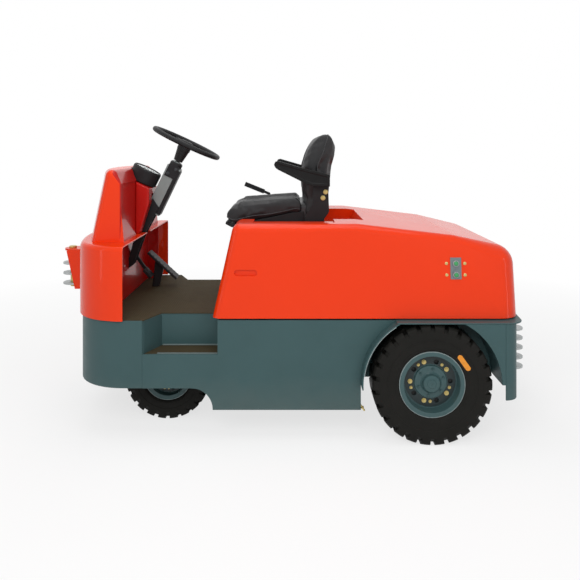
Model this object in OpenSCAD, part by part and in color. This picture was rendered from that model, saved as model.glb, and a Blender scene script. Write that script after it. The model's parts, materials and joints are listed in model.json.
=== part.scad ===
// Electric tow tractor: four wheels, stand-up cowl, opening rear hood that carries the seat.
// Millimetres. +X forward, +Y to the driver's left, +Z up, wheels standing on z = 0.
// The origin lies in the middle of the length over the couplers.

/* [Chassis] */
// Half width over the side plates
side_y = 540; // [500:1:580]
// How far the rear fenders and rear tyres stand out past the side plates
fender_out = 60; // [50:1:70]
// Thickness of the chassis side and nose plates
plate_t = 8; // [5:1:12]
// Gap between the tops of the rear tyres and the deck
deck_gap = 5; // [5:1:20]
// Height of the lower edge of the nose apron
apron_z = 238; // [225:1:260]
// Height of the lower edge of the side skirts
skirt_z = 140; // [120:1:160]
// Nose front ahead of the front axle
front_overhang = 451; // [430:1:480]
// Plan radius of the nose front
nose_r = 1240; // [1000:10:1600]
// Plan radius of the nose corners
corner_r = 250; // [200:5:280]
// Largest radius of the concave rise from the skirt to the apron
skirt_arc_r = 95; // [60:1:110]
// Rear wall behind the rear wheel arch
rear_margin = 111; // [100:1:140]
// Plan radius of the rear wall
rear_r = 4800; // [3000:100:9000]
// Plan radius of the rear wall corners
rear_corner_r = 65; // [50:1:75]
// Height of the lower edge of the rear wall
rear_wall_z = 205; // [190:1:225]
// How far the shelf around the hood stands out past the rear wall
shelf_lip = 26; // [22:1:34]
// Thickness of the shelf plate
shelf_t = 6; // [4:1:8]

/* [Step] */
// Front edge of the step recess ahead of the front axle
step_ahead = 70; // [60:1:85]
// Length of the step recess at the side plate
step_len = 343; // [320:1:365]
// Depth of the step recess from the side plate
step_depth = 145; // [125:1:160]
// Height of the step tread
tread_z = 393; // [380:1:410]
// How far the recess front wall slants rearward
step_slant = 62; // [40:1:80]
// Thickness of the floor mat
mat_t = 4; // [3:1:6]

/* [Wheels] */
// Distance between the axles
wheelbase = 1242; // [1200:1:1300]
// Radius of the rear tyres at the lug tips
rear_tyre_r = 270; // [255:1:285]
// Width of the rear tyres
rear_tyre_w = 156; // [140:1:170]
// Radius of the rear rim flanges
rear_rim_r = 149; // [140:1:155]
// Lugs on each shoulder of a rear tyre
rear_lugs = 26; // [20:1:30]
// Radius of the front tyres at the lug tips
front_tyre_r = 208; // [195:1:215]
// Width of the front tyres
front_tyre_w = 106; // [96:1:112]
// Radius of the front rim flanges
front_rim_r = 118; // [110:1:122]
// Lugs on each shoulder of a front tyre
front_lugs = 22; // [18:1:26]
// Width of the grooves between the lugs
groove_w = 20; // [14:1:24]
// Depth of the grooves between the lugs
groove_depth = 13; // [9:1:16]
// Lateral position of the kingpins
kingpin_y = 150; // [140:1:165]
// Front wheel centres outside the kingpins
wheel_offset = 100; // [94:1:110]
// Length of the steering arms
steer_arm = 100; // [90:1:110]
// Least gap between the rear tyres and their arches
arch_gap = 40; // [34:1:48]
// Least height of the rear arches' crown over the deck, where the shelf closes them
arch_crown = 35; // [28:1:42]
// Thickness of the rolled arch plate
arch_t = 6; // [4:1:8]

/* [Cowl] */
// Height of the cowl shoulder over the deck
cowl_h = 339; // [320:1:360]
// Edge radius of the cowl shoulder
shoulder_r = 25; // [15:1:30]
// How far the cowl stands out over the nose apron
cowl_overhang = 12; // [8:1:16]
// Wall of the cowl moulding
cowl_t = 6; // [4:1:8]
// Length of the cowl along the centre line
cowl_len = 275; // [260:1:290]
// Width of the cowl's rear jambs beside the footwell
jamb_w = 106; // [90:1:125]
// Lower edge of the lip over the footwell, below the shoulder
lip_drop = 34; // [29:1:45]
// How far the tower stands in from the side plates
tower_inset = 144; // [130:1:160]
// Height of the tower over the shoulder
tower_h = 346; // [320:1:370]
// Half width of the dash console
console_y = 104; // [95:1:120]
// Radius of the instrument pod
pod_r = 78; // [70:1:84]

/* [Steering] */
// Diameter of the steering wheel
wheel_d = 390; // [370:1:410]
// Radius of the steering wheel rim section
wheel_grip_r = 13; // [11:0.5:15]
// Lean of the steering column from upright
column_lean = 25.7; // [23:0.1:28]
// Steering wheel centre behind the cowl's rear edge
wheel_back = 233; // [220:1:245]
// Steering wheel centre over the top of the tower
wheel_rise = 128; // [110:1:145]
// Width of the column channel
column_w = 54; // [48:1:60]

/* [Hood] */
// Gap between the shelf plate and the lower edge of the hood
hood_gap = 6; // [5:0.5:10]
// How far the hood's front edge laps over the step recess
hood_lap = 25; // [18:1:32]
// Hood rear face ahead of the rear wall
hood_set = 6; // [2:1:12]
// How far the hood's lower edge stands out past the side plates
hood_out = 5; // [1:1:10]
// How far the hood's sides lean in towards the top
hood_taper = 40; // [30:1:50]
// Height of the hood over the deck
hood_h = 435; // [415:1:455]
// Edge radius of the hood
hood_edge_r = 40; // [30:1:50]
// Radius of the rear corners of the hood
hood_corner_r = 95; // [80:1:105]
// Wall of the hood moulding
hood_t = 6; // [4:1:8]
// Side gap between the seat and the walls of its pocket
pocket_gap = 43; // [38:1:50]
// Depth of the seat pocket below the hood top
pocket_depth = 62; // [55:1:70]
// Length of the hand slot in the hood's sides
slot_len = 105; // [90:1:120]

/* [Seat] */
// Half width of the seat cushion
seat_y = 232; // [215:1:238]
// Seat back face behind the hood's front edge
seat_set = 427; // [410:1:440]
// Height of the backrest over the pocket floor
backrest_h = 496; // [470:1:520]
// Width of the armrests
armrest_w = 55; // [45:1:65]

/* [Couplers] */
// Half width of the coupler plates, and the radius of their ends
coupler_y = 50; // [45:1:60]
// Thickness of the coupler plates
coupler_t = 11; // [9:1:12]
// Tip of the front coupler ahead of the cowl
front_reach = 151; // [140:1:165]
// Tip of the rear coupler behind the rear wall
rear_reach = 185; // [170:1:200]
// Pitch of the rear coupler plates
coupler_pitch = 50.5; // [48:0.5:53]
// Height of the lowest rear coupler plate
coupler_z = 160; // [150:1:175]
// Pitch of the front coupler plates
front_pitch = 53.5; // [50:0.5:57]
// Top plate of the front coupler below the cowl shoulder
front_coupler_drop = 98; // [90:1:110]
// Radius of the draw pin
pin_r = 13; // [10:0.5:15]

/* [Hidden] */
$fn = 64;
fit = 0.3;
eps = 0.01;

orange = "#e8461e";
grey = "#486264";
black = "#1c1c1c";
mat_brown = "#4a4232";
steel = "#b4b8b8";
zinc = "#c8a24a";
tyre_black = "#2b2a26";
cast_grey = "#4a4e50";
drive_grey = "#3a3f42";
column_grey = "#8a9090";
button_grey = "#6c7478";

// Frame members and deck.
step_wall = 6;
tread_t = 8;
floor_t = 4;
rail_w = 60;
rail_z1 = tread_z - tread_t - step_wall - 19;
rail_z0 = rail_z1 - 100;
pan_t = 10;
bridge_z0 = 2 * front_tyre_r + 14;
bridge_z1 = bridge_z0 + 60;
bridge_half = 40;
deck_z = max(2 * rear_tyre_r + deck_gap, bridge_z1 + 47 + floor_t + mat_t);
floor_z = deck_z - mat_t - floor_t;
side_top = deck_z + 4;
deck_flange_w = 52;

// Rear arches: clear of the tyres, and high enough for the shelf to close them.
rear_z = rear_tyre_r;
front_z = front_tyre_r;
arch_r = max(rear_tyre_r + arch_gap, deck_z - rear_z + arch_crown);
rear_overhang = arch_r + rear_margin;

// Places along the length, from the middle of the length over the couplers.
rear_axle_x = -(wheelbase + front_overhang + cowl_overhang + front_reach - rear_overhang - rear_reach) / 2;
front_axle_x = rear_axle_x + wheelbase;
nose_x = front_axle_x + front_overhang;
cowl_nose_x = nose_x + cowl_overhang;
front_tip_x = cowl_nose_x + front_reach;
rear_wall_x = rear_axle_x - rear_overhang;
rear_tip_x = rear_wall_x - rear_reach;
step_front_x = front_axle_x + step_ahead;
step_rear_x = step_front_x - step_len;
skirt_front_x = step_rear_x + 22;

// Places across the width.
fender_y = side_y + fender_out;
side_in = side_y - plate_t;
step_in_y = side_y - step_depth;

// Wheels.
rear_wheel_y = fender_y - rear_tyre_w / 2;
front_wheel_y = kingpin_y + wheel_offset;
front_rim_w = front_tyre_w - 22;
rear_rim_w = rear_tyre_w - 32;
flange_t = 6;
flange_h = 14;
flange_flare = 4;
diff_r = 125;
axle_tube_r = 50;
stub_r = 30;
spindle_r = 16;
kingpin_r = 14;
sleeve_r = 28;
axle_h = 60;
axle_w = 64;
fork_gap = 5;
fork_t = 16;
fork_r = 24;
rod_eye_r = 14;
hand_hole_r = 11;
hand_holes = 5;

// Rear wheel houses and the rails between them.
house_t = 6;
house_y = fender_y - rear_tyre_w - 20 - house_t;
fender_front_z = 250;
fender_rear_z = 273;
rear_rail_y = house_y - 13 - rail_w;
rear_rail_z0 = rear_z + 62;
rear_rail_z1 = rear_rail_z0 + 70;
cross_x0 = rear_axle_x + arch_r - 15;
cross_x1 = cross_x0 + 60;
arch_clear_x = rear_axle_x + arch_r + arch_t + 4;
shelf_corner_r = rear_corner_r + 15;
shelf_tip = -rear_wall_x + shelf_lip;

// Front end of the shelf, where the rolled arch meets the deck, and of the deck flange beside it.
function arch_front(z) = rear_axle_x + sqrt(pow(arch_r + arch_t, 2) - pow(z - rear_z, 2)) + 3;
shelf_front_x = arch_front(deck_z);

// Cowl.
shoulder_z = deck_z + cowl_h;
cowl_back_x = cowl_nose_x - cowl_len;
footwell_y = side_y - jamb_w;
lip_z = shoulder_z - lip_drop;
toe_x = cowl_back_x + 70;
tower_y = side_y - tower_inset;
tower_z = shoulder_z + tower_h;
tower_back_x = cowl_back_x + 16;
tower_lip = [cowl_back_x + 2, 136];
console_slope = 26.6;
console_back_x = cowl_back_x - 55;
console_top_z = tower_z - 110;
pod_x = console_back_x + 62;
pod_h = 78;

// Steering.
wheel_x = cowl_back_x - wheel_back;
wheel_z = tower_z + wheel_rise;
wheel_r = wheel_d / 2 - wheel_grip_r;
hub_r = 36;
shaft_r = 12;
column_top = -112;
column_end = -415;
column_d = 76;
head_h = 30;
// Middle of the column's lower end, and the knee of its bracket over the toe board.
column_foot = [wheel_x - column_end * sin(column_lean), wheel_z + column_end * cos(column_lean)];
bracket_knee = [cowl_back_x + 45, lip_z - 17];
slot_back_x = cowl_back_x - 125;
bracket_t = 6;

// Hood.
hood_y = side_y + hood_out;
hood_top_y = hood_y - hood_taper;
hood_z = deck_z + hood_h;
hood_z0 = deck_z + shelf_t + hood_gap;
hood_front_x = step_rear_x + hood_lap;
hood_rear_x = rear_wall_x + hood_set;
pocket_z = hood_z - pocket_depth;
pocket_y = seat_y + pocket_gap;
front_lean_x = 80;
lean_run = [hood_z - hood_edge_r - 10 - hood_z0, front_lean_x];
lean_n = lean_run / norm(lean_run);
hood_nose_x = hood_front_x - (hood_edge_r + (hood_z - hood_edge_r - hood_z0) * lean_n[1]) / lean_n[0];
// Crest line of the hood behind the seat: ahead of the hood's rear face, drop below the hood top.
hood_crest = [[hood_nose_x - hood_rear_x, 0], [740, 0], [576, 19], [294, 53]];
hood_tail_drop = 100;
slot_r = 14;
slot_depth = 12;
hand_slot = [hood_front_x - 152, hood_z - 220];
hinge_x = hood_rear_x - 12;
hinge_z = hood_z0 + 18;
hinge_r = 10;
hinge_pin_r = 5;
hinge_y = 300;
hinge_knuckle = 20;
buffer_x = [hood_front_x - 169, hood_rear_x + 660];
buffer_y = side_in - 20;
buffer_r = 12;
button_plate_size = [50, 11, 98];

// Seat. Rows of the cushion: ahead of the seat back face, underside and top over the pocket floor.
seat_x = hood_front_x - seat_set;
seat_z = pocket_z;
cushion_rows = [[3, 94, 152], [58, 88, 146], [178, 62, 138], [330, 34, 124], [374, 32, 112], [396, 44, 96],
                [407, 64, 80]];
// Rows of the backrest: height over the pocket floor, front face and rear face from the seat back face.
backrest_rows = [[60, -1, -92], [155, -1, -108], [185, 7, -114], [322, 5, -130], [382, -14, -146],
                 [430, -36, -152], [470, -66, -154], [backrest_h, -94, -134]];
bracket_side_t = 10;

// Outlines and helpers.
function arc_pts(c, r, a0, a1, n) =
    [for (i = [0:n]) c + r * [cos(a0 + (a1 - a0) * i / n), sin(a0 + (a1 - a0) * i / n)]];

function flip_y(pts) = [for (i = [len(pts) - 1:-1:1]) [pts[i][0], -pts[i][1]]];

// A bar of thickness t from a to b.
function bar(a, b, t) =
    let (u = (b - a) / norm(b - a), n = [-u[1], u[0]] * t / 2)
    [a + n, a - n, b - n, b + n];

// Where the corner arc of a bowed end is centred along X.
function end_corner_x(tip, r, rc, half) = tip - r + sqrt(pow(r - rc, 2) - pow(half - rc, 2));

// Half of a bowed end in plan: a front arc that runs tangent into a corner arc.
function end_half(tip, r, rc, half, off) =
    let (kx = end_corner_x(tip, r, rc, half), a = atan2(half - rc, kx - tip + r))
    concat([for (i = [0:4]) [tip - r, 0] + (r + off) * [cos(a * i / 5), sin(a * i / 5)]],
           arc_pts([kx, half - rc], rc + off, a, 90, 10));

// A bowed end in plan, grown by off, closed by a straight edge at back_x.
module end_plan(tip, r, rc, half, off, back_x) {
    pts = end_half(tip, r, rc, half, off);
    polygon(concat([[back_x, -half - off]], flip_y(pts), pts, [[back_x, half + off]]));
}

module nose_plan(off, back_x) {
    end_plan(nose_x, nose_r, corner_r, side_y, off, back_x);
}

module rear_plan(off, front_x) {
    mirror([1, 0]) end_plan(-rear_wall_x, rear_r, rear_corner_r, fender_y, off, -front_x);
}

// A profile drawn in X and Z, given thickness from y0 to y1.
module upright(y0, y1) {
    translate([0, y1, 0]) rotate([90, 0, 0]) linear_extrude(y1 - y0) children();
}

module box(x0, x1, y0, y1, z0, z1) {
    translate([x0, y0, z0]) cube([x1 - x0, y1 - y0, z1 - z0]);
}

module along_y(r, y0, y1) {
    translate([0, y0, 0]) rotate([-90, 0, 0]) cylinder(r = r, h = y1 - y0);
}

module right() {
    mirror([0, 1, 0]) children();
}

module both_sides() {
    children();
    right() children();
}

// Chassis

module nose_apron() {
    color(grey) translate([0, 0, apron_z]) linear_extrude(deck_z - apron_z) difference() {
        nose_plan(0, step_front_x);
        nose_plan(-plate_t, step_front_x - 1);
    }
}

module skirt_profile() {
    r = min(skirt_arc_r, apron_z - skirt_z - 2);
    rise = arc_pts([skirt_front_x + r, apron_z - r], r, 180, 90, 10);
    difference() {
        polygon(concat(
            [[rear_axle_x, skirt_z], [skirt_front_x, skirt_z]], rise,
            [[step_front_x, apron_z], [step_front_x, tread_z], [step_rear_x, tread_z],
             [step_rear_x, side_top], [rear_axle_x, side_top]]));
        translate([rear_axle_x, rear_z]) circle(arch_r + arch_t);
        translate([rear_axle_x, 0]) square([arch_r + arch_t, rear_z]);
        translate([rear_axle_x - 1, deck_z]) square([shelf_front_x - rear_axle_x + 1, 20]);
    }
}

module side_plate() {
    upright(side_in, side_y) skirt_profile();
    box(arch_front(deck_z - plate_t), step_rear_x - step_wall, side_in - deck_flange_w, side_in + eps,
        deck_z - plate_t, deck_z);
}

module side_plate_left() {
    color(grey) side_plate();
}

module side_plate_right() {
    color(grey) right() side_plate();
}

module step_plan(grow) {
    polygon([[step_rear_x - grow, step_in_y - grow], [step_front_x - step_slant + grow, step_in_y - grow],
             [step_front_x + grow, side_y], [step_rear_x - grow, side_y]]);
}

// The step recess inside the side plate, in plan.
module step_inside(grow) {
    intersection() {
        step_plan(grow);
        translate([step_rear_x - 50, 0]) square([step_len + 100, side_in]);
    }
}

module step_box() {
    z0 = tread_z - tread_t - step_wall;
    difference() {
        translate([0, 0, z0]) linear_extrude(floor_z - z0) step_inside(step_wall);
        translate([0, 0, z0 + step_wall]) linear_extrude(deck_z) step_plan(0);
    }
}

module step_box_left() {
    color(grey) step_box();
}

module step_box_right() {
    color(grey) right() step_box();
}

module step_tread() {
    translate([0, 0, tread_z - tread_t]) linear_extrude(tread_t) step_inside(0);
}

module step_tread_left() {
    color(mat_brown) step_tread();
}

module step_tread_right() {
    color(mat_brown) right() step_tread();
}

module floor_outline(front_x, inset) {
    rear_x = step_rear_x - step_wall;
    difference() {
        intersection() {
            translate([rear_x, -side_in]) square([front_x - rear_x, 2 * side_in]);
            nose_plan(-plate_t - inset, 0);
        }
        step_plan(inset);
        mirror([0, 1]) step_plan(inset);
    }
}

module floor_plate() {
    color(grey) translate([0, 0, floor_z]) linear_extrude(floor_t) floor_outline(toe_x + 6, 0);
}

module floor_mat() {
    color(mat_brown) translate([0, 0, deck_z - mat_t]) linear_extrude(mat_t) floor_outline(toe_x - 1, 2);
}

module main_frame() {
    rail_y = side_in - rail_w;
    pan_front_x = step_rear_x - 14;
    bridge_y = step_in_y - step_wall;
    color(grey) {
        both_sides() {
            box(arch_clear_x, step_front_x - 90, rail_y, side_in, rail_z0, rail_z1);
            intersection() {
                box(rear_wall_x, cross_x0 + eps, rear_rail_y, rear_rail_y + rail_w,
                    rear_rail_z0, rear_rail_z1);
                linear_extrude(deck_z) rear_plan(-plate_t - fit, cross_x1);
            }
        }
        box(cross_x0, cross_x1, -house_y + 3, house_y - 3, rail_z0, rear_rail_z1);
        box(arch_clear_x, cross_x1, -side_in, side_in, rail_z0, rear_rail_z1);
        box(cross_x1 - eps, pan_front_x, -rail_y - eps, rail_y + eps, rail_z0, rail_z0 + pan_t);
        box(front_axle_x - bridge_half, front_axle_x + bridge_half, -bridge_y, bridge_y,
            bridge_z0, bridge_z1);
        box(front_axle_x - 30, front_axle_x + 30, -30, 30, front_z + axle_h / 2, bridge_z0 + eps);
    }
}

module arch_span(r) {
    intersection() {
        translate([rear_axle_x, rear_z]) circle(r);
        union() {
            translate([rear_axle_x, fender_front_z]) square([2 * arch_r, deck_z - fender_front_z]);
            translate([rear_axle_x - 2 * arch_r, fender_rear_z]) square([2 * arch_r, deck_z - fender_rear_z]);
        }
    }
}

// Rolled arch, the inner wall of the wheel house, and the outer plate between arch and rear wall.
module fender() {
    post_x = -end_corner_x(-rear_wall_x, rear_r, rear_corner_r, fender_y);
    upright(house_y, fender_y) difference() {
        arch_span(arch_r + arch_t);
        translate([rear_axle_x, rear_z]) circle(arch_r);
    }
    upright(house_y, house_y + house_t) difference() {
        arch_span(arch_r + arch_t / 2);
        translate([rear_axle_x, rear_z]) circle(axle_tube_r + 8);
        translate([rear_axle_x - axle_tube_r - 8, 0]) square([2 * axle_tube_r + 16, rear_z]);
    }
    upright(fender_y - plate_t, fender_y) difference() {
        translate([post_x, fender_rear_z]) square([rear_axle_x - post_x, deck_z - fender_rear_z]);
        translate([rear_axle_x, rear_z]) circle(arch_r + arch_t / 2);
    }
}

module rear_fender_left() {
    color(grey) fender();
}

module rear_fender_right() {
    color(grey) right() fender();
}

module rear_shelf() {
    hole_x = rear_wall_x + 110;
    color(grey) translate([0, 0, deck_z]) linear_extrude(shelf_t) difference() {
        mirror([1, 0]) end_plan(shelf_tip, rear_r, shelf_corner_r, fender_y, 0, -shelf_front_x);
        translate([hole_x, -house_y]) square([shelf_front_x + 1 - hole_x, 2 * house_y]);
    }
}

module rear_wall() {
    post_x = -end_corner_x(-rear_wall_x, rear_r, rear_corner_r, fender_y);
    color(grey) translate([0, 0, rear_wall_z]) linear_extrude(deck_z - rear_wall_z) difference() {
        rear_plan(0, post_x);
        rear_plan(-plate_t, post_x + 1);
    }
}

// A coupler plate in plan: straight sides and a round end at tip_x, pointing to +X.
module coupler_plan(root_x, tip_x) {
    end_x = tip_x - coupler_y;
    translate([root_x, -coupler_y]) square([end_x - root_x, 2 * coupler_y]);
    translate([end_x, 0]) circle(coupler_y);
}

module rear_coupler() {
    base_y = coupler_y + 30;
    base_x = rear_wall_x - 14;
    plates = 5;
    color(steel) difference() {
        union() {
            box(base_x, rear_wall_x + 5, -base_y, base_y, coupler_z - 12,
                coupler_z + (plates - 1) * coupler_pitch + 30);
            for (i = [0:plates - 1]) translate([0, 0, coupler_z + i * coupler_pitch])
                linear_extrude(coupler_t) mirror([1, 0]) coupler_plan(-base_x - eps, -rear_tip_x);
        }
        linear_extrude(deck_z) rear_plan(fit, 0);
        translate([rear_tip_x + coupler_y, 0, 0]) cylinder(r = pin_r + 1, h = deck_z);
    }
}

// Cowl

module cowl_body(inset) {
    r = shoulder_r - inset;
    top = shoulder_z - inset;
    hull() {
        translate([0, 0, inset > 0 ? deck_z - 1 : deck_z])
            linear_extrude(1) nose_plan(cowl_overhang - inset, cowl_back_x + inset);
        for (a = [0:18:90])
            translate([0, 0, top - r + r * sin(a) - 0.2]) linear_extrude(0.2)
                nose_plan(cowl_overhang - inset - r * (1 - cos(a)), cowl_back_x + inset);
    }
}

module front_cowl() {
    color(orange) {
        difference() {
            cowl_body(0);
            cowl_body(cowl_t);
            box(cowl_back_x - 10, cowl_back_x + cowl_t + 2, -footwell_y, footwell_y, deck_z - 1, lip_z);
            column_slot();
        }
        translate([0, 0, deck_z]) linear_extrude(cowl_t) difference() {
            nose_plan(cowl_overhang - cowl_t / 2, cowl_back_x + cowl_t / 2);
            nose_plan(-plate_t - 12, cowl_back_x - 10);
        }
    }
}

// Bowed tower. Columns of its front: share of the half width, bulge ahead of the tower's sides.
tower_bow = [[0, 62], [0.35, 54], [0.65, 34]];

module tower_body() {
    r = 30;
    edge_r = 10;
    front_x = nose_x - 130;
    back_x = tower_back_x + edge_r;
    back_y = tower_y - edge_r;
    lean = 66;
    hull() both_sides() {
        translate([front_x, tower_y - r, shoulder_z]) cylinder(r = r, h = 1, $fn = 32);
        translate([front_x - lean, tower_y - r, tower_z - r - 3]) sphere(r, $fn = 32);
        translate([back_x, back_y, shoulder_z]) cylinder(r = edge_r, h = 1, $fn = 32);
        translate([back_x, back_y, tower_z - 62 - edge_r]) sphere(edge_r, $fn = 32);
        for (b = tower_bow) translate([front_x + b[1], b[0] * tower_y, 0]) {
            translate([0, 0, shoulder_z]) cylinder(r = r, h = 1, $fn = 32);
            translate([-lean, 0, tower_z - r]) sphere(r, $fn = 32);
        }
    }
}

// The facet beside the console that runs from the lip up to the tower's rear edge.
module tower_facet() {
    inner_x = tower_back_x + 8;
    hull() {
        box(tower_lip[0], inner_x, console_y + 40, tower_y, shoulder_z, shoulder_z + 1);
        box(tower_back_x, inner_x, tower_y - 11, tower_y - 10, shoulder_z, shoulder_z + tower_lip[1]);
    }
}

// The slot behind the column that its bracket passes through.
module column_slot() {
    half = column_w / 2 + 14;
    top = column_foot[1] + 100;
    upright(-half, half)
        polygon([[slot_back_x, top], [column_foot[0] + 10, top], [bracket_knee[0] + 12, bracket_knee[1] + 50],
                 [bracket_knee[0] + 12, lip_z - 20], [slot_back_x, lip_z - 20]]);
}

module pod_place() {
    translate([pod_x, 0, console_top_z + (pod_x - console_back_x) * tan(console_slope)])
        rotate([0, -console_slope, 0]) children();
}

module cowl_tower() {
    color(orange) difference() {
        union() {
            tower_body();
            both_sides() tower_facet();
        }
        pod_place() translate([0, 0, -60]) cylinder(r = pod_r + 6, h = 300);
        column_slot();
    }
}

module dash_console() {
    front_x = tower_back_x - fit;
    top_front_z = console_top_z + (front_x - console_back_x) * tan(console_slope);
    color(orange) difference() {
        upright(-console_y, console_y)
            polygon([[front_x, top_front_z], [console_back_x, console_top_z],
                     [console_back_x, console_top_z - 75], [cowl_back_x - 4, shoulder_z + fit],
                     [front_x, shoulder_z + fit]]);
        column_slot();
    }
}

module footwell_liner() {
    x0 = cowl_back_x + cowl_t;
    t = 6;
    color(orange) translate([0, 0, deck_z]) linear_extrude(shoulder_z - cowl_t - deck_z) difference() {
        translate([x0, -footwell_y - t]) square([toe_x + t - x0, 2 * (footwell_y + t)]);
        translate([x0 - 10, -footwell_y]) square([toe_x - x0 + 10, 2 * footwell_y]);
    }
}

// Drum with a rolled bezel round its sunk face.
module instrument_pod() {
    color(black) pod_place() rotate_extrude()
        polygon([[0, 0], [pod_r - 6, 0], [pod_r, 6], [pod_r, pod_h - 8], [pod_r - 5, pod_h],
                 [pod_r - 11, pod_h], [pod_r - 15, pod_h - 6], [0, pod_h - 6]]);
}

front_top_z = shoulder_z - front_coupler_drop;
front_plates = [for (i = [1:3]) front_top_z + coupler_t / 2 - 20 - i * front_pitch];

module front_coupler() {
    cheek_t = 8;
    low_z = front_plates[2] - 24;
    back_x = cowl_nose_x - 20;
    tip = front_tip_x - 10;
    color(orange) difference() {
        union() {
            box(back_x, cowl_nose_x + 10, -coupler_y - 30, coupler_y + 30, low_z, front_top_z + 14);
            both_sides() upright(coupler_y, coupler_y + cheek_t)
                polygon([[back_x, front_top_z + 10], [tip - 40, front_top_z + coupler_t],
                         [tip - 24, front_top_z], [tip - 30, front_top_z - 28], [tip - 68, low_z],
                         [back_x, low_z]]);
            translate([0, 0, front_top_z]) linear_extrude(coupler_t) coupler_plan(back_x, tip);
        }
        linear_extrude(shoulder_z) nose_plan(cowl_overhang + fit, 0);
        translate([front_tip_x - coupler_y, 0, 0]) cylinder(r = pin_r + 1, h = shoulder_z);
    }
}

module front_coupler_plates() {
    color(steel) difference() {
        for (z = front_plates) translate([0, 0, z - coupler_t / 2]) linear_extrude(coupler_t)
            coupler_plan(cowl_nose_x + 10, front_tip_x);
        translate([front_tip_x - coupler_y, 0, 0]) cylinder(r = pin_r + 1, h = shoulder_z);
    }
}

module front_coupler_pin() {
    top = front_top_z + coupler_t;
    foot = front_plates[2] - 20;
    color(zinc) translate([front_tip_x - coupler_y, 0, 0]) {
        translate([0, 0, foot]) cylinder(r = pin_r, h = top - foot + 2);
        translate([0, 0, top]) cylinder(r = pin_r + 7, h = 10);
    }
}

// Steering and pedals

module on_column() {
    translate([wheel_x, 0, wheel_z]) rotate([0, -column_lean, 0]) children();
}

module steering_column() {
    color(column_grey) on_column() difference() {
        union() {
            translate([-column_d / 2, -column_w / 2, column_end])
                cube([column_d, column_w, column_top - head_h - column_end]);
            translate([0, 0, column_top - head_h - 1]) cylinder(r = shaft_r + 12, h = head_h + 1);
        }
        translate([0, 0, column_top - 2 * head_h]) cylinder(r = shaft_r + 0.5, h = 100);
    }
}

module column_bracket() {
    f = column_foot;
    k = bracket_knee;
    color(black) both_sides() upright(column_w / 2, column_w / 2 + bracket_t)
        polygon([f + [-38, 30], f + [-5, 80], k, [toe_x, k[1] - 88], [toe_x, k[1] - 143],
                 [toe_x - 25, k[1] - 121], k + [-55, 30]]);
}

module steering_wheel() {
    spokes = 3;
    boss_z = -42;
    neck_z = column_top + 5;
    color(black) on_column() {
        rotate_extrude() translate([wheel_r, 0]) circle(wheel_grip_r);
        translate([0, 0, boss_z]) cylinder(r = hub_r, h = 46);
        translate([0, 0, neck_z]) cylinder(r1 = 24, r2 = hub_r - 2, h = boss_z - neck_z + eps);
        translate([0, 0, column_top - 50]) cylinder(r = shaft_r, h = 60);
        for (i = [0:spokes - 1]) rotate([0, 0, 60 + i * 360 / spokes])
            translate([hub_r - 6, -12, -10]) cube([wheel_r - hub_r + 4, 24, 9]);
    }
}

module accelerator_pedal() {
    heel = [toe_x - 218, deck_z + 48];
    top = [toe_x - 56, deck_z + 196];
    pivot = heel + (top - heel) * 0.55;
    color(black) {
        upright(-255, -170) polygon(bar(heel, top, 13));
        upright(-225, -200)
            polygon([pivot + [-14, -10], [toe_x - 115, deck_z], [toe_x - 75, deck_z], pivot + [36, 20]]);
    }
}

module brake_pedal() {
    pad = [[toe_x - 91, deck_z + 71], [toe_x - 51, deck_z + 114]];
    color(black) {
        upright(-135, -115) polygon(bar((pad[0] + pad[1]) / 2, [toe_x - 10, deck_z + 178], 16));
        upright(-135, -115) polygon([[toe_x - 22, deck_z + 168], [toe_x, deck_z + 172], [toe_x, deck_z + 202],
                                     [toe_x - 16, deck_z + 192]]);
        upright(-165, -85) polygon(bar(pad[0], pad[1], 13));
    }
}

// Running gear

module battery() {
    half = step_in_y + 5;
    color(drive_grey) box(cross_x1 + 30, front_axle_x - front_tyre_r - 149, -half, half,
                          rail_z0 + pan_t, pocket_z - 68);
}

module rear_axle() {
    color(cast_grey) translate([rear_axle_x, 0, rear_z]) {
        along_y(axle_tube_r, -house_y - 12, house_y + 12);
        along_y(stub_r, -rear_wheel_y - 30, rear_wheel_y + 30);
        both_sides() translate([-60, rear_rail_y, 0]) cube([120, rail_w, rear_rail_z0 - rear_z]);
        sphere(diff_r);
    }
}

module drive_motor() {
    motor_r = 90;
    color(drive_grey) difference() {
        translate([rear_axle_x, 0, rear_z]) rotate([0, 90, 0])
            cylinder(r = motor_r, h = cross_x0 - rear_axle_x);
        translate([rear_axle_x, 0, rear_z]) sphere(diff_r + fit);
        translate([rear_axle_x - 200, -200, rear_z - 200]) cube([200, 400, 400]);
    }
}

module front_axle() {
    color(cast_grey) translate([front_axle_x, 0, front_z]) difference() {
        union() {
            translate([-axle_w / 2, -kingpin_y, -axle_h / 2]) cube([axle_w, 2 * kingpin_y, axle_h]);
            both_sides() translate([0, kingpin_y, -axle_h / 2]) cylinder(r = sleeve_r, h = axle_h);
        }
        both_sides() translate([0, kingpin_y, -axle_h]) cylinder(r = kingpin_r + 0.5, h = 2 * axle_h);
        both_sides() difference() {
            translate([-axle_w, kingpin_y, -axle_h]) cube([2 * axle_w, 100, 2 * axle_h]);
            translate([0, kingpin_y, -2 * axle_h]) cylinder(r = sleeve_r, h = 4 * axle_h);
        }
    }
}

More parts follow.
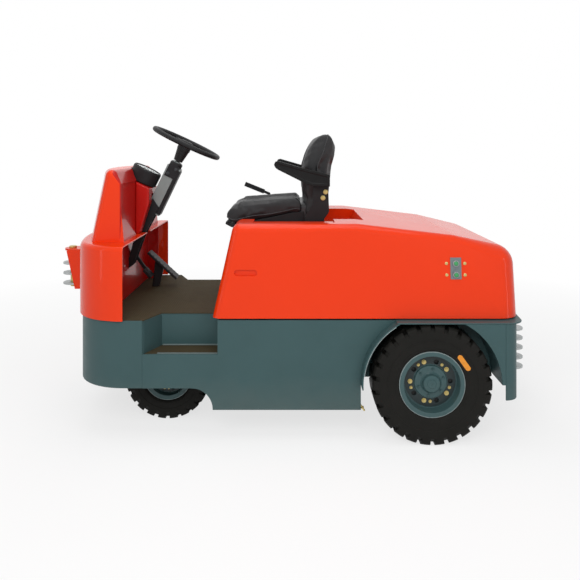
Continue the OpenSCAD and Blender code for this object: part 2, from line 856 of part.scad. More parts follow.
module knuckle() {
    h = axle_h / 2 + fork_gap;
    plate_y = sleeve_r + 8;
    arm_t = 14;
    color(cast_grey) translate([front_axle_x, kingpin_y, front_z]) {
        translate([0, 0, -h - fork_t]) cylinder(r = kingpin_r, h = 2 * (h + fork_t));
        for (z = [-h - fork_t, h]) translate([0, 0, z]) {
            cylinder(r = fork_r, h = fork_t);
            translate([-fork_r, 0, 0]) cube([2 * fork_r, plate_y + eps, fork_t]);
        }
        translate([-fork_r, plate_y, -h - fork_t]) cube([2 * fork_r, 12, 2 * (h + fork_t)]);
        along_y(spindle_r, plate_y + 11, wheel_offset + 25);
        translate([-steer_arm, -rod_eye_r, -h - fork_t]) cube([steer_arm, 2 * rod_eye_r, arm_t]);
        translate([-steer_arm, 0, -h - fork_t]) cylinder(r = rod_eye_r, h = arm_t);
    }
}

module knuckle_left() {
    knuckle();
}

module knuckle_right() {
    right() knuckle();
}

module tie_rod() {
    arm_z = front_z - axle_h / 2 - fork_gap - fork_t;
    eye_h = 26;
    color(steel) translate([front_axle_x - steer_arm, 0, arm_z - eye_h / 2]) {
        along_y(10, -kingpin_y, kingpin_y);
        both_sides() translate([0, kingpin_y, -eye_h / 2]) cylinder(r = rod_eye_r, h = eye_h - fit);
    }
}

// A tyre about the Y axis, seated between the flanges of a rim, with grooves cut between its lugs.
module tyre(r, w, flange_r, rim_w, lugs) {
    bead = rim_w / 2 - flange_t - fit;
    lip_r = flange_r + fit;
    sidewall = [[flange_r - flange_h + fit, bead - flange_flare], [lip_r, bead], [lip_r + 8, bead + 8],
                [(lip_r + r) / 2, w / 2], [r - 30, w / 2], [r - 8, 0.46 * w], [r, 0.40 * w]];
    groove = [[r - groove_depth, 0.13 * w], [r - groove_depth - 3, 0.40 * w], [r - 34, w / 2],
              [r - 34, w / 2 + 5], [r + 5, w / 2 + 5], [r + 5, 0.13 * w]];
    rotate([90, 0, 0]) difference() {
        rotate_extrude(convexity = 4)
            polygon(concat(sidewall, [for (i = [len(sidewall) - 1:-1:0]) [sidewall[i][0], -sidewall[i][1]]]));
        for (i = [0:lugs - 1], s = [0, 1]) rotate([0, 0, (i + s / 2) * 360 / lugs])
            mirror([0, 0, s]) rotate([90, 0, 0]) translate([0, 0, -groove_w / 2])
                linear_extrude(groove_w) polygon(groove);
    }
}

// A disc wheel about the Y axis, outer side at +Y, its hub bored for the axle stub, with hand holes.
module rim(flange_r, w, bore_r, hub_y, cap_r, stud_in) {
    barrel = flange_r - flange_h;
    seat = w / 2 - flange_t - flange_flare;
    dish_r = barrel - 14;
    stud_r = dish_r - stud_in;
    boss_r = stud_r - 16;
    rotate([-90, 0, 0]) difference() {
        rotate_extrude(convexity = 4) polygon([
            [barrel - 8, -w / 2], [flange_r, -w / 2], [flange_r, -w / 2 + flange_t], [barrel, -seat],
            [barrel, seat], [flange_r, w / 2 - flange_t], [flange_r, w / 2], [barrel - 8, w / 2],
            [dish_r, 14], [boss_r, 14], [boss_r - 3, 24], [cap_r + 8, 28], [cap_r, 36], [cap_r - 4, hub_y],
            [0, hub_y], [0, hub_y - 12], [bore_r, hub_y - 12], [bore_r, -w / 2 + 14],
            [cap_r + 5, -w / 2 + 14], [cap_r + 5, 2], [dish_r, 2]]);
        for (i = [0:hand_holes - 1]) rotate([0, 0, (i + 0.5) * 360 / hand_holes])
            translate([stud_r, 0, -10]) cylinder(r = hand_hole_r, h = 40);
    }
}

module front_wheel_place() {
    translate([front_axle_x, front_wheel_y, front_z]) children();
}

module rear_wheel_place() {
    translate([rear_axle_x, rear_wheel_y, rear_z]) children();
}

module front_rim() {
    color(grey) front_wheel_place() rim(front_rim_r, front_rim_w, spindle_r + 0.5, 42, 27, 22);
}

module rear_rim() {
    color(grey) rear_wheel_place() rim(rear_rim_r, rear_rim_w, stub_r + 0.5, 52, 41, 29);
}

module front_tyre() {
    color(tyre_black) front_wheel_place()
        tyre(front_tyre_r, front_tyre_w, front_rim_r, front_rim_w, front_lugs);
}

module rear_tyre() {
    color(tyre_black) rear_wheel_place() tyre(rear_tyre_r, rear_tyre_w, rear_rim_r, rear_rim_w, rear_lugs);
}

module front_rim_left() {
    front_rim();
}

module front_rim_right() {
    right() front_rim();
}

module front_tyre_left() {
    front_tyre();
}

module front_tyre_right() {
    right() front_tyre();
}

module rear_rim_left() {
    rear_rim();
}

module rear_rim_right() {
    right() rear_rim();
}

module rear_tyre_left() {
    rear_tyre();
}

module rear_tyre_right() {
    right() rear_tyre();
}

// Hood and seat

module hood_body(inset) {
    z0 = inset > 0 ? hood_z0 - 1 : hood_z0;
    r = hood_edge_r;
    c = hood_corner_r;
    hull() both_sides() {
        translate([hood_front_x - r, hood_y - r, z0]) cylinder(r = r - inset, h = 1, $fn = 32);
        translate([hood_rear_x + c, hood_y - c, z0]) cylinder(r = c - inset, h = 1, $fn = 32);
        for (p = hood_crest)
            translate([hood_rear_x + p[0], hood_top_y - r, hood_z - r - p[1]]) sphere(r - inset, $fn = 32);
        translate([hood_rear_x + c, hood_top_y - c, hood_z - hood_tail_drop - c]) sphere(c - inset, $fn = 32);
    }
}

// The seat pocket, open to the front, the shallow tray beside it and the hand slots, all grown by g.
module hood_pockets(g) {
    upright(-pocket_y - g, pocket_y + g)
        polygon([[seat_x - 307 - g, hood_z + 40], [seat_x - 272 - g, pocket_z - g],
                 [hood_front_x + 60, pocket_z - g], [hood_front_x + 60, hood_z + 40]]);
    tray_y = hood_top_y - 85 + g;
    box(seat_x - 141 - g, seat_x + 248 + g, -tray_y, tray_y, hood_z - 12 - g, hood_z + 40);
    slot_y = hood_y - hood_taper * 0.55 - slot_depth - g;
    half = slot_len / 2 - slot_r;
    both_sides() upright(slot_y, hood_y + 40) translate(hand_slot) {
        for (s = [-1, 1]) translate([s * half, 0]) circle(slot_r + g);
        square([2 * half, 2 * (slot_r + g)], center = true);
    }
}

module hood() {
    color(orange) difference() {
        hood_body(0);
        difference() {
            hood_body(hood_t);
            hood_pockets(hood_t);
            for (x = buffer_x) both_sides()
                box(x - 30, x + 30, hood_y - 70, hood_y, hood_z0 - 2, hood_z0 + 6);
        }
        hood_pockets(0);
    }
}

module hood_buffers() {
    color(black) for (x = buffer_x) both_sides()
        translate([x, buffer_y, deck_z]) cylinder(r = buffer_r, h = hood_z0 - deck_z - fit);
}

module hinge_bases() {
    base_z = deck_z + shelf_t;
    k = hinge_knuckle;
    color(steel) both_sides() translate([hinge_x, hinge_y, 0]) for (y = [-2 * k, k]) difference() {
        union() {
            translate([0, y, hinge_z]) rotate([-90, 0, 0]) cylinder(r = hinge_r, h = k);
            translate([-hinge_r, y, base_z]) cube([2 * hinge_r, k, hinge_z - base_z]);
        }
        translate([0, y - 1, hinge_z]) rotate([-90, 0, 0]) cylinder(r = hinge_pin_r + fit, h = k + 2);
    }
}

module hinge_leaves() {
    half = hinge_knuckle - 0.5;
    color(steel) both_sides() translate([hinge_x, hinge_y, hinge_z]) {
        translate([0, -2 * hinge_knuckle - 2, 0]) rotate([-90, 0, 0])
            cylinder(r = hinge_pin_r, h = 4 * hinge_knuckle + 4);
        translate([0, -half, 0]) rotate([-90, 0, 0]) cylinder(r = hinge_r, h = 2 * half);
        translate([0, -half, 0]) cube([hood_rear_x - hinge_x, 2 * half, 60]);
    }
}

module button_plate() {
    crest = hood_crest[3];
    reach = [hood_taper + hood_edge_r, hood_z - hood_edge_r - crest[1] - hood_z0 - 1];
    lean = atan2(reach[0], reach[1]) - asin(hood_edge_r / norm(reach));
    z = hood_z0 + 224;
    y = hood_y - (z - hood_z0 - 1) * tan(lean);
    size = button_plate_size;
    color(button_grey) difference() {
        translate([hood_rear_x + crest[0], y, z]) rotate([lean, 0, 0]) {
            translate([-size[0] / 2, -6, -size[2] / 2]) cube(size);
            for (dz = [-20, 20]) translate([0, 2, dz]) rotate([-90, 0, 0]) cylinder(r = 12, h = 11);
        }
        hood_body(-fit);
    }
}

// Pan under the cushion, closed up to the cushion's underside, with a side bracket to the backrest.
module seat_base() {
    pan_y = seat_y - 20;
    under = [for (i = [5:-1:0]) [seat_x + cushion_rows[i][0], seat_z + cushion_rows[i][1] - fit]];
    heel_z = seat_z + backrest_rows[0][0] - fit;
    color(black) {
        upright(-pan_y, pan_y)
            polygon(concat([[seat_x - 92, seat_z], [seat_x + 300, seat_z], [seat_x + 370, seat_z + 14],
                            [seat_x + 400, seat_z + 30]], under,
                           [[seat_x + 2, heel_z], [seat_x - 92, heel_z]]));
        both_sides() {
            box(seat_x - 98, seat_x, pan_y - 10, seat_y + bracket_side_t, seat_z, seat_z + 27);
            upright(seat_y + fit, seat_y + bracket_side_t) translate([seat_x, seat_z])
                polygon([[0, 0], [0, 67], [-37, 128], [-44, 230], [-118, 230], [-123, 94], [-98, 57],
                         [-98, 0]]);
        }
    }
}

module seat_cushion() {
    last = len(cushion_rows) - 1;
    color(black) upright(-seat_y, seat_y) translate([seat_x, seat_z])
        polygon(concat([for (row = cushion_rows) [row[0], row[1]]],
                       [for (i = [last:-1:0]) [cushion_rows[i][0], cushion_rows[i][2]]]));
}

module seat_backrest() {
    last = len(backrest_rows) - 1;
    color(black) upright(-seat_y, seat_y) translate([seat_x, seat_z])
        polygon(concat([for (row = backrest_rows) [row[1], row[0]]],
                       [for (i = [last:-1:0]) [backrest_rows[i][2], backrest_rows[i][0]]]));
}

// Paddle armrest: thick at its pivot beside the backrest, rising to a rounded front cap.
module armrest() {
    y0 = seat_y + bracket_side_t;
    color(black) upright(y0, y0 + armrest_w) translate([seat_x, seat_z])
        polygon([[-124, 224], [-34, 228], [7, 244], [134, 308], [146, 318], [152, 332], [146, 346],
                 [132, 350], [-1, 312], [-124, 281]]);
}

module armrest_left() {
    armrest();
}

module armrest_right() {
    right() armrest();
}

// Hand lever beside the cushion, on a foot in the pocket floor.
module hand_lever() {
    foot = [seat_x + 138, seat_z];
    elbow = [seat_x + 196, seat_z + 150];
    tip = [seat_x + 334, seat_z + 206];
    grip = elbow + (tip - elbow) * 0.2;
    y0 = seat_y + pocket_gap / 3;
    y1 = seat_y + pocket_gap - 5;
    color(black) right() {
        box(foot[0] - 24, foot[0] + 16, y0, y1, seat_z, seat_z + 6);
        upright(y0 + 6, y1 - 4) polygon(bar(foot + [0, 3], elbow + [2, 4], 14));
        upright(y0 + 6, y1 - 4) polygon(bar(elbow, tip, 14));
        upright(y0, y1) polygon(bar(grip, tip, 24));
    }
}

nose_apron();
side_plate_left();
side_plate_right();
step_box_left();
step_box_right();
step_tread_left();
step_tread_right();
floor_plate();
floor_mat();
main_frame();
rear_fender_left();
rear_fender_right();
rear_shelf();
rear_wall();
rear_coupler();
front_cowl();
cowl_tower();
dash_console();
footwell_liner();
instrument_pod();
front_coupler();
front_coupler_plates();
front_coupler_pin();
steering_column();
column_bracket();
steering_wheel();
accelerator_pedal();
brake_pedal();
battery();
rear_axle();
drive_motor();
front_axle();
knuckle_left();
knuckle_right();
tie_rod();
front_rim_left();
front_rim_right();
front_tyre_left();
front_tyre_right();
rear_rim_left();
rear_rim_right();
rear_tyre_left();
rear_tyre_right();
hood();
hood_buffers();
hinge_bases();
hinge_leaves();
button_plate();
seat_base();
seat_cushion();
seat_backrest();
armrest_left();
armrest_right();
hand_lever();
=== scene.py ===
import json
import math
import bpy
from mathutils import Matrix, Vector
from mathutils.bvhtree import BVHTree


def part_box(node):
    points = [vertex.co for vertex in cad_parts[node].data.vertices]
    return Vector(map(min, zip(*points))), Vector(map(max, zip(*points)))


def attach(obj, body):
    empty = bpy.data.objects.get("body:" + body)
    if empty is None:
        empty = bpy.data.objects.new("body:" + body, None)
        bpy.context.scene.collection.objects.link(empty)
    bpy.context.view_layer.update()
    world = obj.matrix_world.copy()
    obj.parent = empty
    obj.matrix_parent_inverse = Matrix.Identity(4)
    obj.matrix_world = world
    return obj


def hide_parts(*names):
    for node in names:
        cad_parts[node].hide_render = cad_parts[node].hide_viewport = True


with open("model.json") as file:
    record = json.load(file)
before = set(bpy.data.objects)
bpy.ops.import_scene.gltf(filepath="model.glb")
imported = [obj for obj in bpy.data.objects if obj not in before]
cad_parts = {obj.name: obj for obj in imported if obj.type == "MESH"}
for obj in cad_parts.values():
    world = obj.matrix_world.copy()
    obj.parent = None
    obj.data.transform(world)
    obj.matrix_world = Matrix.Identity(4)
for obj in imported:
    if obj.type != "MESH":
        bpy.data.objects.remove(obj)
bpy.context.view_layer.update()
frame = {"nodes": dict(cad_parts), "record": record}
nodes = frame["nodes"]
print("frame loaded:", len(nodes), "nodes")


class Field:  # one shader socket, used in plain sums
    def __init__(self, tree, socket):
        self.tree = tree
        self.socket = socket

    def calc(self, operation, *values):
        node = self.tree.nodes.new("ShaderNodeMath")
        node.operation = operation
        for slot, value in zip(node.inputs, values):
            feed(self.tree, slot, value)
        return Field(self.tree, node.outputs[0])

    def __add__(self, other): return self.calc("ADD", self, other)
    def __mul__(self, other): return self.calc("MULTIPLY", self, other)
    def __truediv__(self, other): return self.calc("DIVIDE", self, other)


def feed(tree, slot, value):
    if isinstance(value, Field):
        tree.links.new(value.socket, slot)
    elif isinstance(value, tuple) and len(value) == 3 and len(getattr(slot, "default_value", ())) == 4:
        slot.default_value = (*value, 1.0)
    else:
        slot.default_value = value


class Finish:  # one material and the nodes that make it
    def __init__(self, name):
        self.material = bpy.data.materials.new(name)
        self.material.use_nodes = True
        self.tree = self.material.node_tree
        self.shader = self.tree.nodes["Principled BSDF"]

    def node(self, kind, settings=None, out=0, **inputs):
        made = self.tree.nodes.new(kind)
        for key, value in (settings or {}).items():
            if key == "stops":
                ramp = made.color_ramp.elements
                while len(ramp) < len(value):
                    ramp.new(0.5)
                for stop, (place, shade) in zip(ramp, value):
                    stop.position = place
                    stop.color = (*shade, 1.0) if isinstance(shade, tuple) else (shade, shade, shade, 1.0)
            else:
                setattr(made, key, value)
        for key, value in inputs.items():
            numbered = key[0] == "i" and key[1:].isdigit()
            slot = made.inputs[int(key[1:])] if numbered else made.inputs[key.replace("_", " ")]
            feed(self.tree, slot, value)
        return Field(self.tree, made.outputs[out])

    def place(self, scale=(1, 1, 1)):
        spot = self.node("ShaderNodeTexCoord", out=3)
        return self.node("ShaderNodeMapping", Vector=spot, Scale=scale)

    def noise(self, scale, detail=3.0, rough=0.5, stretch=(1, 1, 1)):
        spot = self.place(stretch)
        return self.node("ShaderNodeTexNoise", Vector=spot, Scale=scale, Detail=detail, Roughness=rough)

    def ramp(self, value, *stops):
        return self.node("ShaderNodeValToRGB", {"stops": stops}, Fac=value)

    def blend(self, amount, first, second):
        return self.node("ShaderNodeMix", {"data_type": "RGBA"}, out=2, i0=amount, i6=first, i7=second)

    def height(self):  # height over the floor, in metres
        return self.node("ShaderNodeSeparateXYZ", out=2, Vector=self.place())

    def bump(self, value, depth, strength=1.0):
        return self.node("ShaderNodeBump", Height=value, Distance=depth, Strength=strength)

    def radial(self, x, z):  # distance from a wheel's axle line
        off = self.node("ShaderNodeVectorMath", {"operation": "SUBTRACT"}, i0=self.place(), i1=(x, 0.0, z))
        flat = self.node("ShaderNodeVectorMath", {"operation": "MULTIPLY"}, i0=off, i1=(1.0, 0.0, 1.0))
        return self.node("ShaderNodeVectorMath", {"operation": "LENGTH"}, out=1, i0=flat)

    def set(self, **inputs):
        for key, value in inputs.items():
            feed(self.tree, self.shader.inputs[key.replace("_", " ")], value)


tone = {
    "orange": (0.78, 0.040, 0.004),
    "orangeDeep": (0.72, 0.037, 0.004),
    "teal": (0.049, 0.099, 0.103),
    "tealDark": (0.039, 0.078, 0.081),
    "black": (0.010, 0.010, 0.011),
    "vinyl": (0.011, 0.011, 0.012),
    "mat": (0.056, 0.045, 0.024),
    "tyre": (0.008, 0.0078, 0.0068),
    "steel": (0.48, 0.50, 0.50),
    "zinc": (0.66, 0.50, 0.17),
    "casting": (0.050, 0.056, 0.060),
    "columnGrey": (0.27, 0.30, 0.29),
    "plateGrey": (0.16, 0.19, 0.20),
}


def makeBodyPaint(name, first, second):
    f = Finish(name)
    drift = f.noise(2.3, 2.0)
    peel = f.noise(420.0, 2.0)
    f.set(Base_Color=f.blend(drift, first, second), Roughness=f.noise(9.0, 4.0) * 0.10 + 0.20,
          Coat_Weight=0.30, Coat_Roughness=0.06, Specular_IOR_Level=0.06, Normal=f.bump(peel, 0.0002, 0.15))
    return f.material


def makeChassisPaint():
    f = Finish("chassisPaint")
    cloud = f.noise(5.0, 5.0, 0.6)
    grit = f.noise(260.0, 3.0)
    dusty = f.ramp(f.height() + f.noise(14.0, 4.0) * 0.10, (0.16, 1.0), (0.34, 0.0))
    base = f.blend(cloud, tone["teal"], tone["tealDark"])
    f.set(Base_Color=f.blend(dusty * 0.22, base, (0.17, 0.17, 0.15)),
          Roughness=f.noise(30.0, 4.0) * 0.16 + 0.36 + dusty * 0.12,
          Specular_IOR_Level=0.22, Normal=f.bump(grit, 0.0003, 0.3))
    return f.material


def makeRimPaint(name, x, z, flange, boss, dish):
    f = Finish(name)
    cloud = f.noise(14.0, 5.0, 0.6)
    share = f.radial(x, z) / flange
    worn = f.ramp(share + f.noise(60.0, 4.0) * 0.03, (0.985, 0.0), (1.005, 1.0))
    base = f.blend(cloud, tone["teal"], tone["tealDark"])
    # the dish between boss and rim edge is darkened towards near black: grime, and painted shade in the recess
    grimeAndShade = f.ramp(share + f.noise(45.0, 4.0) * 0.03,
                   (boss, 0.0), (boss + 0.02, 1.0), (dish - 0.02, 1.0), (dish + 0.02, 0.0))
    base = f.blend(grimeAndShade * 0.82, base, (0.010, 0.013, 0.014))
    f.set(Base_Color=f.blend(worn * 0.6, base, (0.30, 0.34, 0.34)), Roughness=f.noise(40.0, 4.0) * 0.14 + 0.30,
          Specular_IOR_Level=0.3, Coat_Weight=0.1, Normal=f.bump(f.noise(240.0, 3.0), 0.0003, 0.25))
    return f.material


def makePlain(name, first, second, rough, **more):
    f = Finish(name)
    f.set(Base_Color=f.blend(f.noise(30.0, 4.0), first, second), Roughness=f.noise(70.0, 3.0) * 0.12 + rough, **more)
    return f.material


def makeGlass():
    f = Finish("podGlass")
    f.set(Base_Color=(0.9, 0.93, 0.93), Roughness=0.08, IOR=1.05, Transmission_Weight=1.0, Specular_IOR_Level=0.05)
    return f.material


def makeBlackPlastic():
    f = Finish("blackPlastic")
    grain = f.node("ShaderNodeTexVoronoi", Vector=f.place(), Scale=900.0)
    f.set(Base_Color=f.blend(f.noise(20.0), tone["black"], (0.018, 0.018, 0.019)),
          Roughness=f.noise(60.0) * 0.15 + 0.42,
          Specular_IOR_Level=0.22, Normal=f.bump(grain, 0.0002, 0.35))
    return f.material


def makeVinyl():
    f = Finish("vinyl")
    grain = f.node("ShaderNodeTexVoronoi", {"feature": "DISTANCE_TO_EDGE"}, Vector=f.place(), Scale=380.0)
    f.set(Base_Color=f.blend(f.noise(25.0), tone["vinyl"], (0.020, 0.020, 0.021)),
          Roughness=f.noise(12.0, 4.0) * 0.2 + 0.34,
          Specular_IOR_Level=0.32, Normal=f.bump(grain, 0.0006, 0.3))
    return f.material


def makeTyre():
    f = Finish("tyreRubber")
    cloud = f.noise(18.0, 5.0)
    f.set(Base_Color=f.blend(cloud, tone["tyre"], (0.013, 0.0125, 0.011)), Roughness=f.noise(50.0) * 0.18 + 0.46,
          Specular_IOR_Level=0.12, Normal=f.bump(f.noise(500.0), 0.0003, 0.4))
    return f.material


def makeMat():
    f = Finish("floorMat")
    dots = f.node("ShaderNodeTexVoronoi", Vector=f.place(), Scale=90.0, Randomness=0.0)
    f.set(Base_Color=f.blend(f.noise(11.0, 5.0), tone["mat"], (0.040, 0.032, 0.018)),
          Roughness=f.noise(40.0) * 0.15 + 0.72, Specular_IOR_Level=0.12,
          Normal=f.bump(dots, 0.002, 0.5))
    return f.material


def makeSteel():
    f = Finish("platedSteel")
    brushed = f.noise(40.0, 4.0, 0.6, (1, 1, 12))
    f.set(Base_Color=f.blend(brushed, tone["steel"], (0.33, 0.35, 0.35)), Metallic=0.85,
          Roughness=brushed * 0.25 + 0.28,
          Normal=f.bump(brushed, 0.0004, 0.2))
    return f.material


def makeZinc():
    f = Finish("yellowZinc")
    shade = f.noise(70.0, 3.0)
    f.set(Base_Color=f.blend(shade, tone["zinc"], (0.50, 0.42, 0.18)), Metallic=0.45, Roughness=shade * 0.2 + 0.26)
    return f.material


def makeCasting():
    f = Finish("casting")
    rough = f.noise(140.0, 5.0)
    f.set(Base_Color=f.blend(f.noise(8.0), tone["casting"], (0.030, 0.033, 0.036)), Roughness=rough * 0.2 + 0.5,
          Metallic=0.2, Normal=f.bump(rough, 0.0008, 0.5))
    return f.material


def makeColumnGrey():
    f = Finish("columnGrey")
    f.set(Base_Color=f.blend(f.noise(14.0, 4.0), tone["columnGrey"], (0.17, 0.19, 0.19)),
          Roughness=f.noise(60.0) * 0.15 + 0.34,
          Metallic=0.3, Normal=f.bump(f.noise(300.0), 0.0003, 0.3))
    return f.material


def makePlateGrey():
    f = Finish("plateGrey")
    f.set(Base_Color=f.blend(f.noise(30.0, 4.0), tone["plateGrey"], (0.12, 0.14, 0.15)),
          Roughness=f.noise(80.0) * 0.15 + 0.35,
          Normal=f.bump(f.noise(350.0), 0.0002, 0.3))
    return f.material


axles = {"rear": (-0.625, 0.270), "front": (0.617, 0.208)}  # X and Z of each axle line

finish = {
    "body_paint": makeBodyPaint("bodyPaint", tone["orange"], tone["orangeDeep"]),
    "chassis_paint": makeChassisPaint(),
    "black_plastic": makeBlackPlastic(),
    "vinyl": makeVinyl(),
    "tyre": makeTyre(),
    "mat": makeMat(),
    "bare_steel": makeSteel(),
    "zinc": makeZinc(),
    "running_gear": makeCasting(),
    "column_grey": makeColumnGrey(),
    "plate_grey": makePlateGrey(),
}
finish["buffer_rubber"] = finish["black_plastic"]

for part in frame["record"]["subparts"]:
    nodes[part["node"]].data.materials.clear()
    nodes[part["node"]].data.materials.append(finish[part["material_slot"]])
print("finishes set")


weltLook = makePlain("weltVinyl", (0.014, 0.014, 0.015), (0.024, 0.024, 0.026), 0.30)
armLook = makePlain("armrestSkin", (0.007, 0.007, 0.007), (0.012, 0.012, 0.012), 0.42, Specular_IOR_Level=0.15)
badgeLook = makePlain("tyreBadge", (0.80, 0.30, 0.020), (0.70, 0.24, 0.016), 0.40)
dialLook = makePlain("dialFace", (0.060, 0.065, 0.063), (0.075, 0.080, 0.078), 0.70, Specular_IOR_Level=0.0)
markLook = makePlain("dialMarks", (0.40, 0.43, 0.40), (0.34, 0.37, 0.34), 0.45)
buttonLook = makePlain("greenButtons", (0.030, 0.30, 0.085), (0.024, 0.24, 0.070), 0.28, Coat_Weight=0.3)
drumLook = makePlain("drumDark", (0.008, 0.009, 0.009), (0.014, 0.015, 0.015), 0.6)
# dark red for the painted shadow line under the cowl lip
shadowLineLook = makePlain("lipShadowLine", (0.20, 0.014, 0.008), (0.15, 0.010, 0.006), 0.50)
# lighter teal for the arch edge: worn paint and a painted highlight
wornAndHighlightLook = makePlain("wornEdgeAndHighlight", (0.34, 0.40, 0.40), (0.16, 0.21, 0.22), 0.36)
stepLook = makePlain("stepEdge", (0.17, 0.21, 0.21), (0.10, 0.14, 0.14), 0.42)
glassLook = makeGlass()
rearRim = makeRimPaint("rearRimPaint", *axles["rear"], 0.149, 0.53, 0.80)
frontRim = makeRimPaint("frontRimPaint", *axles["front"], 0.118, 0.46, 0.75)
# a deeper red that stands in for the shade on faces turned to the driver: painted shade
paintedShadeRed = makeBodyPaint("paintedShadeRed", (0.50, 0.012, 0.008), (0.40, 0.009, 0.007))
# the footwell liner and dash console take the painted-shade red
nodeLook = {
    "footwell_liner": paintedShadeRed, "dash_console": paintedShadeRed, "rear_rim_left": rearRim,
    "rear_rim_right": rearRim, "front_rim_left": frontRim, "front_rim_right": frontRim,
}

# copies of the CAD nodes, with softened edges

bodyOf = {node: name for name, held in frame["record"]["behaviour"]["bodies"].items() for node in held}
slotOf = {part["node"]: part["material_slot"] for part in frame["record"]["subparts"]}


def only(piece):  # the one picked piece, in object mode
    if bpy.context.object and bpy.context.object.mode != "OBJECT":
        bpy.ops.object.mode_set(mode="OBJECT")
    bpy.ops.object.select_all(action="DESELECT")
    if piece:
        piece.select_set(True)
        bpy.context.view_layer.objects.active = piece
    return piece


def editAll(piece):
    only(piece)
    bpy.ops.object.mode_set(mode="EDIT")
    bpy.ops.mesh.select_all(action="SELECT")


def applyMod(piece, kind, **settings):
    only(piece)
    mod = piece.modifiers.new(kind.lower(), kind)
    for key, value in settings.items():
        setattr(mod, key, value)
    bpy.ops.object.modifier_apply(modifier=mod.name)


def soften(piece, width, segments=2, degrees=30.0):
    applyMod(piece, "BEVEL", width=width, segments=segments, limit_method="ANGLE", angle_limit=math.radians(degrees),
             miter_outer="MITER_ARC", harden_normals=False)


def smooth(piece, degrees=35.0):
    only(piece)
    bpy.ops.object.shade_smooth_by_angle(angle=math.radians(degrees))
    applyMod(piece, "WEIGHTED_NORMAL", keep_sharp=True)


def bakePlace(piece):  # the place goes into the mesh
    only(piece)
    bpy.ops.object.transform_apply(location=True, rotation=True, scale=True)
    return piece


def settle(piece, name, rides, slotName, look=None):
    bakePlace(piece)
    piece.name = name
    piece.data.name = name
    piece.data.materials.clear()
    piece.data.materials.append(look or finish[slotName])
    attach(piece, rides)
    return piece


def camel(node):
    words = node.split("_")
    return words[0] + "".join(word.capitalize() for word in words[1:])


def copyNode(node):
    source = nodes[node]
    piece = bpy.data.objects.new(camel(node) + "Finished", source.data.copy())
    bpy.context.collection.objects.link(piece)
    piece.matrix_world = source.matrix_world
    editAll(piece)
    bpy.ops.mesh.remove_doubles(threshold=0.00002)
    bpy.ops.mesh.dissolve_limited(angle_limit=math.radians(1.0))
    return only(piece)


edgeWidth = {  # rounding of each node's edges, in metres
    "nose_apron": 0.002, "side_plate_left": 0.002, "side_plate_right": 0.002, "step_box_left": 0.0015,
    "step_box_right": 0.0015, "floor_plate": 0.001, "floor_mat": 0.0012, "step_tread_left": 0.002,
    "step_tread_right": 0.002, "main_frame": 0.003, "rear_fender_left": 0.002, "rear_fender_right": 0.002,
    "rear_shelf": 0.002, "rear_wall": 0.002, "rear_coupler": 0.0025, "front_coupler": 0.002,
    "front_coupler_plates": 0.0025, "front_coupler_pin": 0.002, "front_cowl": 0.002, "cowl_tower": 0.004,
    "dash_console": 0.012, "footwell_liner": 0.002, "hood": 0.004, "hood_buffers": 0.0015, "instrument_pod": 0.0012,
    "steering_column": 0.006, "column_bracket": 0.0015, "steering_wheel": 0.002, "accelerator_pedal": 0.003,
    "brake_pedal": 0.003, "battery": 0.008, "rear_axle": 0.003, "drive_motor": 0.004, "front_axle": 0.003,
    "knuckle_left": 0.002, "knuckle_right": 0.002, "tie_rod": 0.002, "front_rim_left": 0.0015,
    "front_rim_right": 0.0015, "rear_rim_left": 0.0015, "rear_rim_right": 0.0015, "front_tyre_left": 0.002,
    "front_tyre_right": 0.002, "rear_tyre_left": 0.0025, "rear_tyre_right": 0.0025, "hinge_bases": 0.0015,
    "hinge_leaves": 0.0015, "button_plate": 0.0015, "seat_base": 0.005, "hand_lever": 0.005,
}


shaded = {"cowl_tower": -0.35}  # faces whose normal's X is lower look at the driver and carry the deeper red, a painted shade


def finishNodes():
    for node, width in edgeWidth.items():
        piece = copyNode(node)
        look = nodeLook.get(node)
        soften(piece, width, 3 if width > 0.003 else 2)
        smooth(piece, 38.0)
        settle(piece, piece.name, bodyOf[node], slotOf[node], look)
        if node in shaded:
            # the driver-facing faces of the tower take the painted-shade red
            piece.data.materials.append(paintedShadeRed)
            for face in piece.data.polygons:
                face.material_index = 1 if face.normal.x < shaded[node] else 0
        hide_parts(node)


finishNodes()
print("node copies finished:", len(edgeWidth))


# small shared shapes

def outline(points):  # a ring of vertices laid on the given points
    only(None)
    bpy.ops.mesh.primitive_circle_add(vertices=len(points), radius=1.0, fill_type="NGON")
    ring = bpy.context.object
    for vertex, point in zip(ring.data.vertices, points):
        vertex.co = point
    return ring


def thicken(piece, step):
    editAll(piece)
    bpy.ops.mesh.extrude_region_move(TRANSFORM_OT_translate={"value": step})
    bpy.ops.mesh.select_all(action="SELECT")
    bpy.ops.mesh.normals_make_consistent(inside=False)
    return only(piece)


def turned(points, steps=64, closed=False):  # (radius, height) rows turned about Z
    only(None)
    bpy.ops.mesh.primitive_circle_add(vertices=len(points), radius=1.0, fill_type="NOTHING")
    ring = bpy.context.object
    for vertex, (radius, height) in zip(ring.data.vertices, points):
        vertex.co = (radius, 0.0, height)
    if not closed:
        last = len(points) - 1
        editAll(ring)
        bpy.ops.mesh.select_all(action="DESELECT")
        bpy.ops.object.mode_set(mode="OBJECT")
        for edge in ring.data.edges:
            edge.select = set(edge.vertices) == {0, last}
        bpy.ops.object.mode_set(mode="EDIT")
        bpy.ops.mesh.select_mode(type="EDGE")
        bpy.ops.mesh.delete(type="EDGE_FACE")
        bpy.ops.mesh.select_mode(type="VERT")
    applyMod(ring, "SCREW", axis="Z", steps=steps, render_steps=steps, use_merge_vertices=True,
             merge_threshold=0.00001)
    editAll(ring)
    bpy.ops.mesh.remove_doubles(threshold=0.00001)
    bpy.ops.mesh.normals_make_consistent(inside=False)
    return only(ring)


def aim(spot, facing, turn=0.0, size=1.0):
    return (Matrix.Translation(spot) @ Vector(facing).to_track_quat("Z", "Y").to_matrix().to_4x4()
            @ Matrix.Rotation(turn, 4, "Z") @ Matrix.Scale(size, 4))


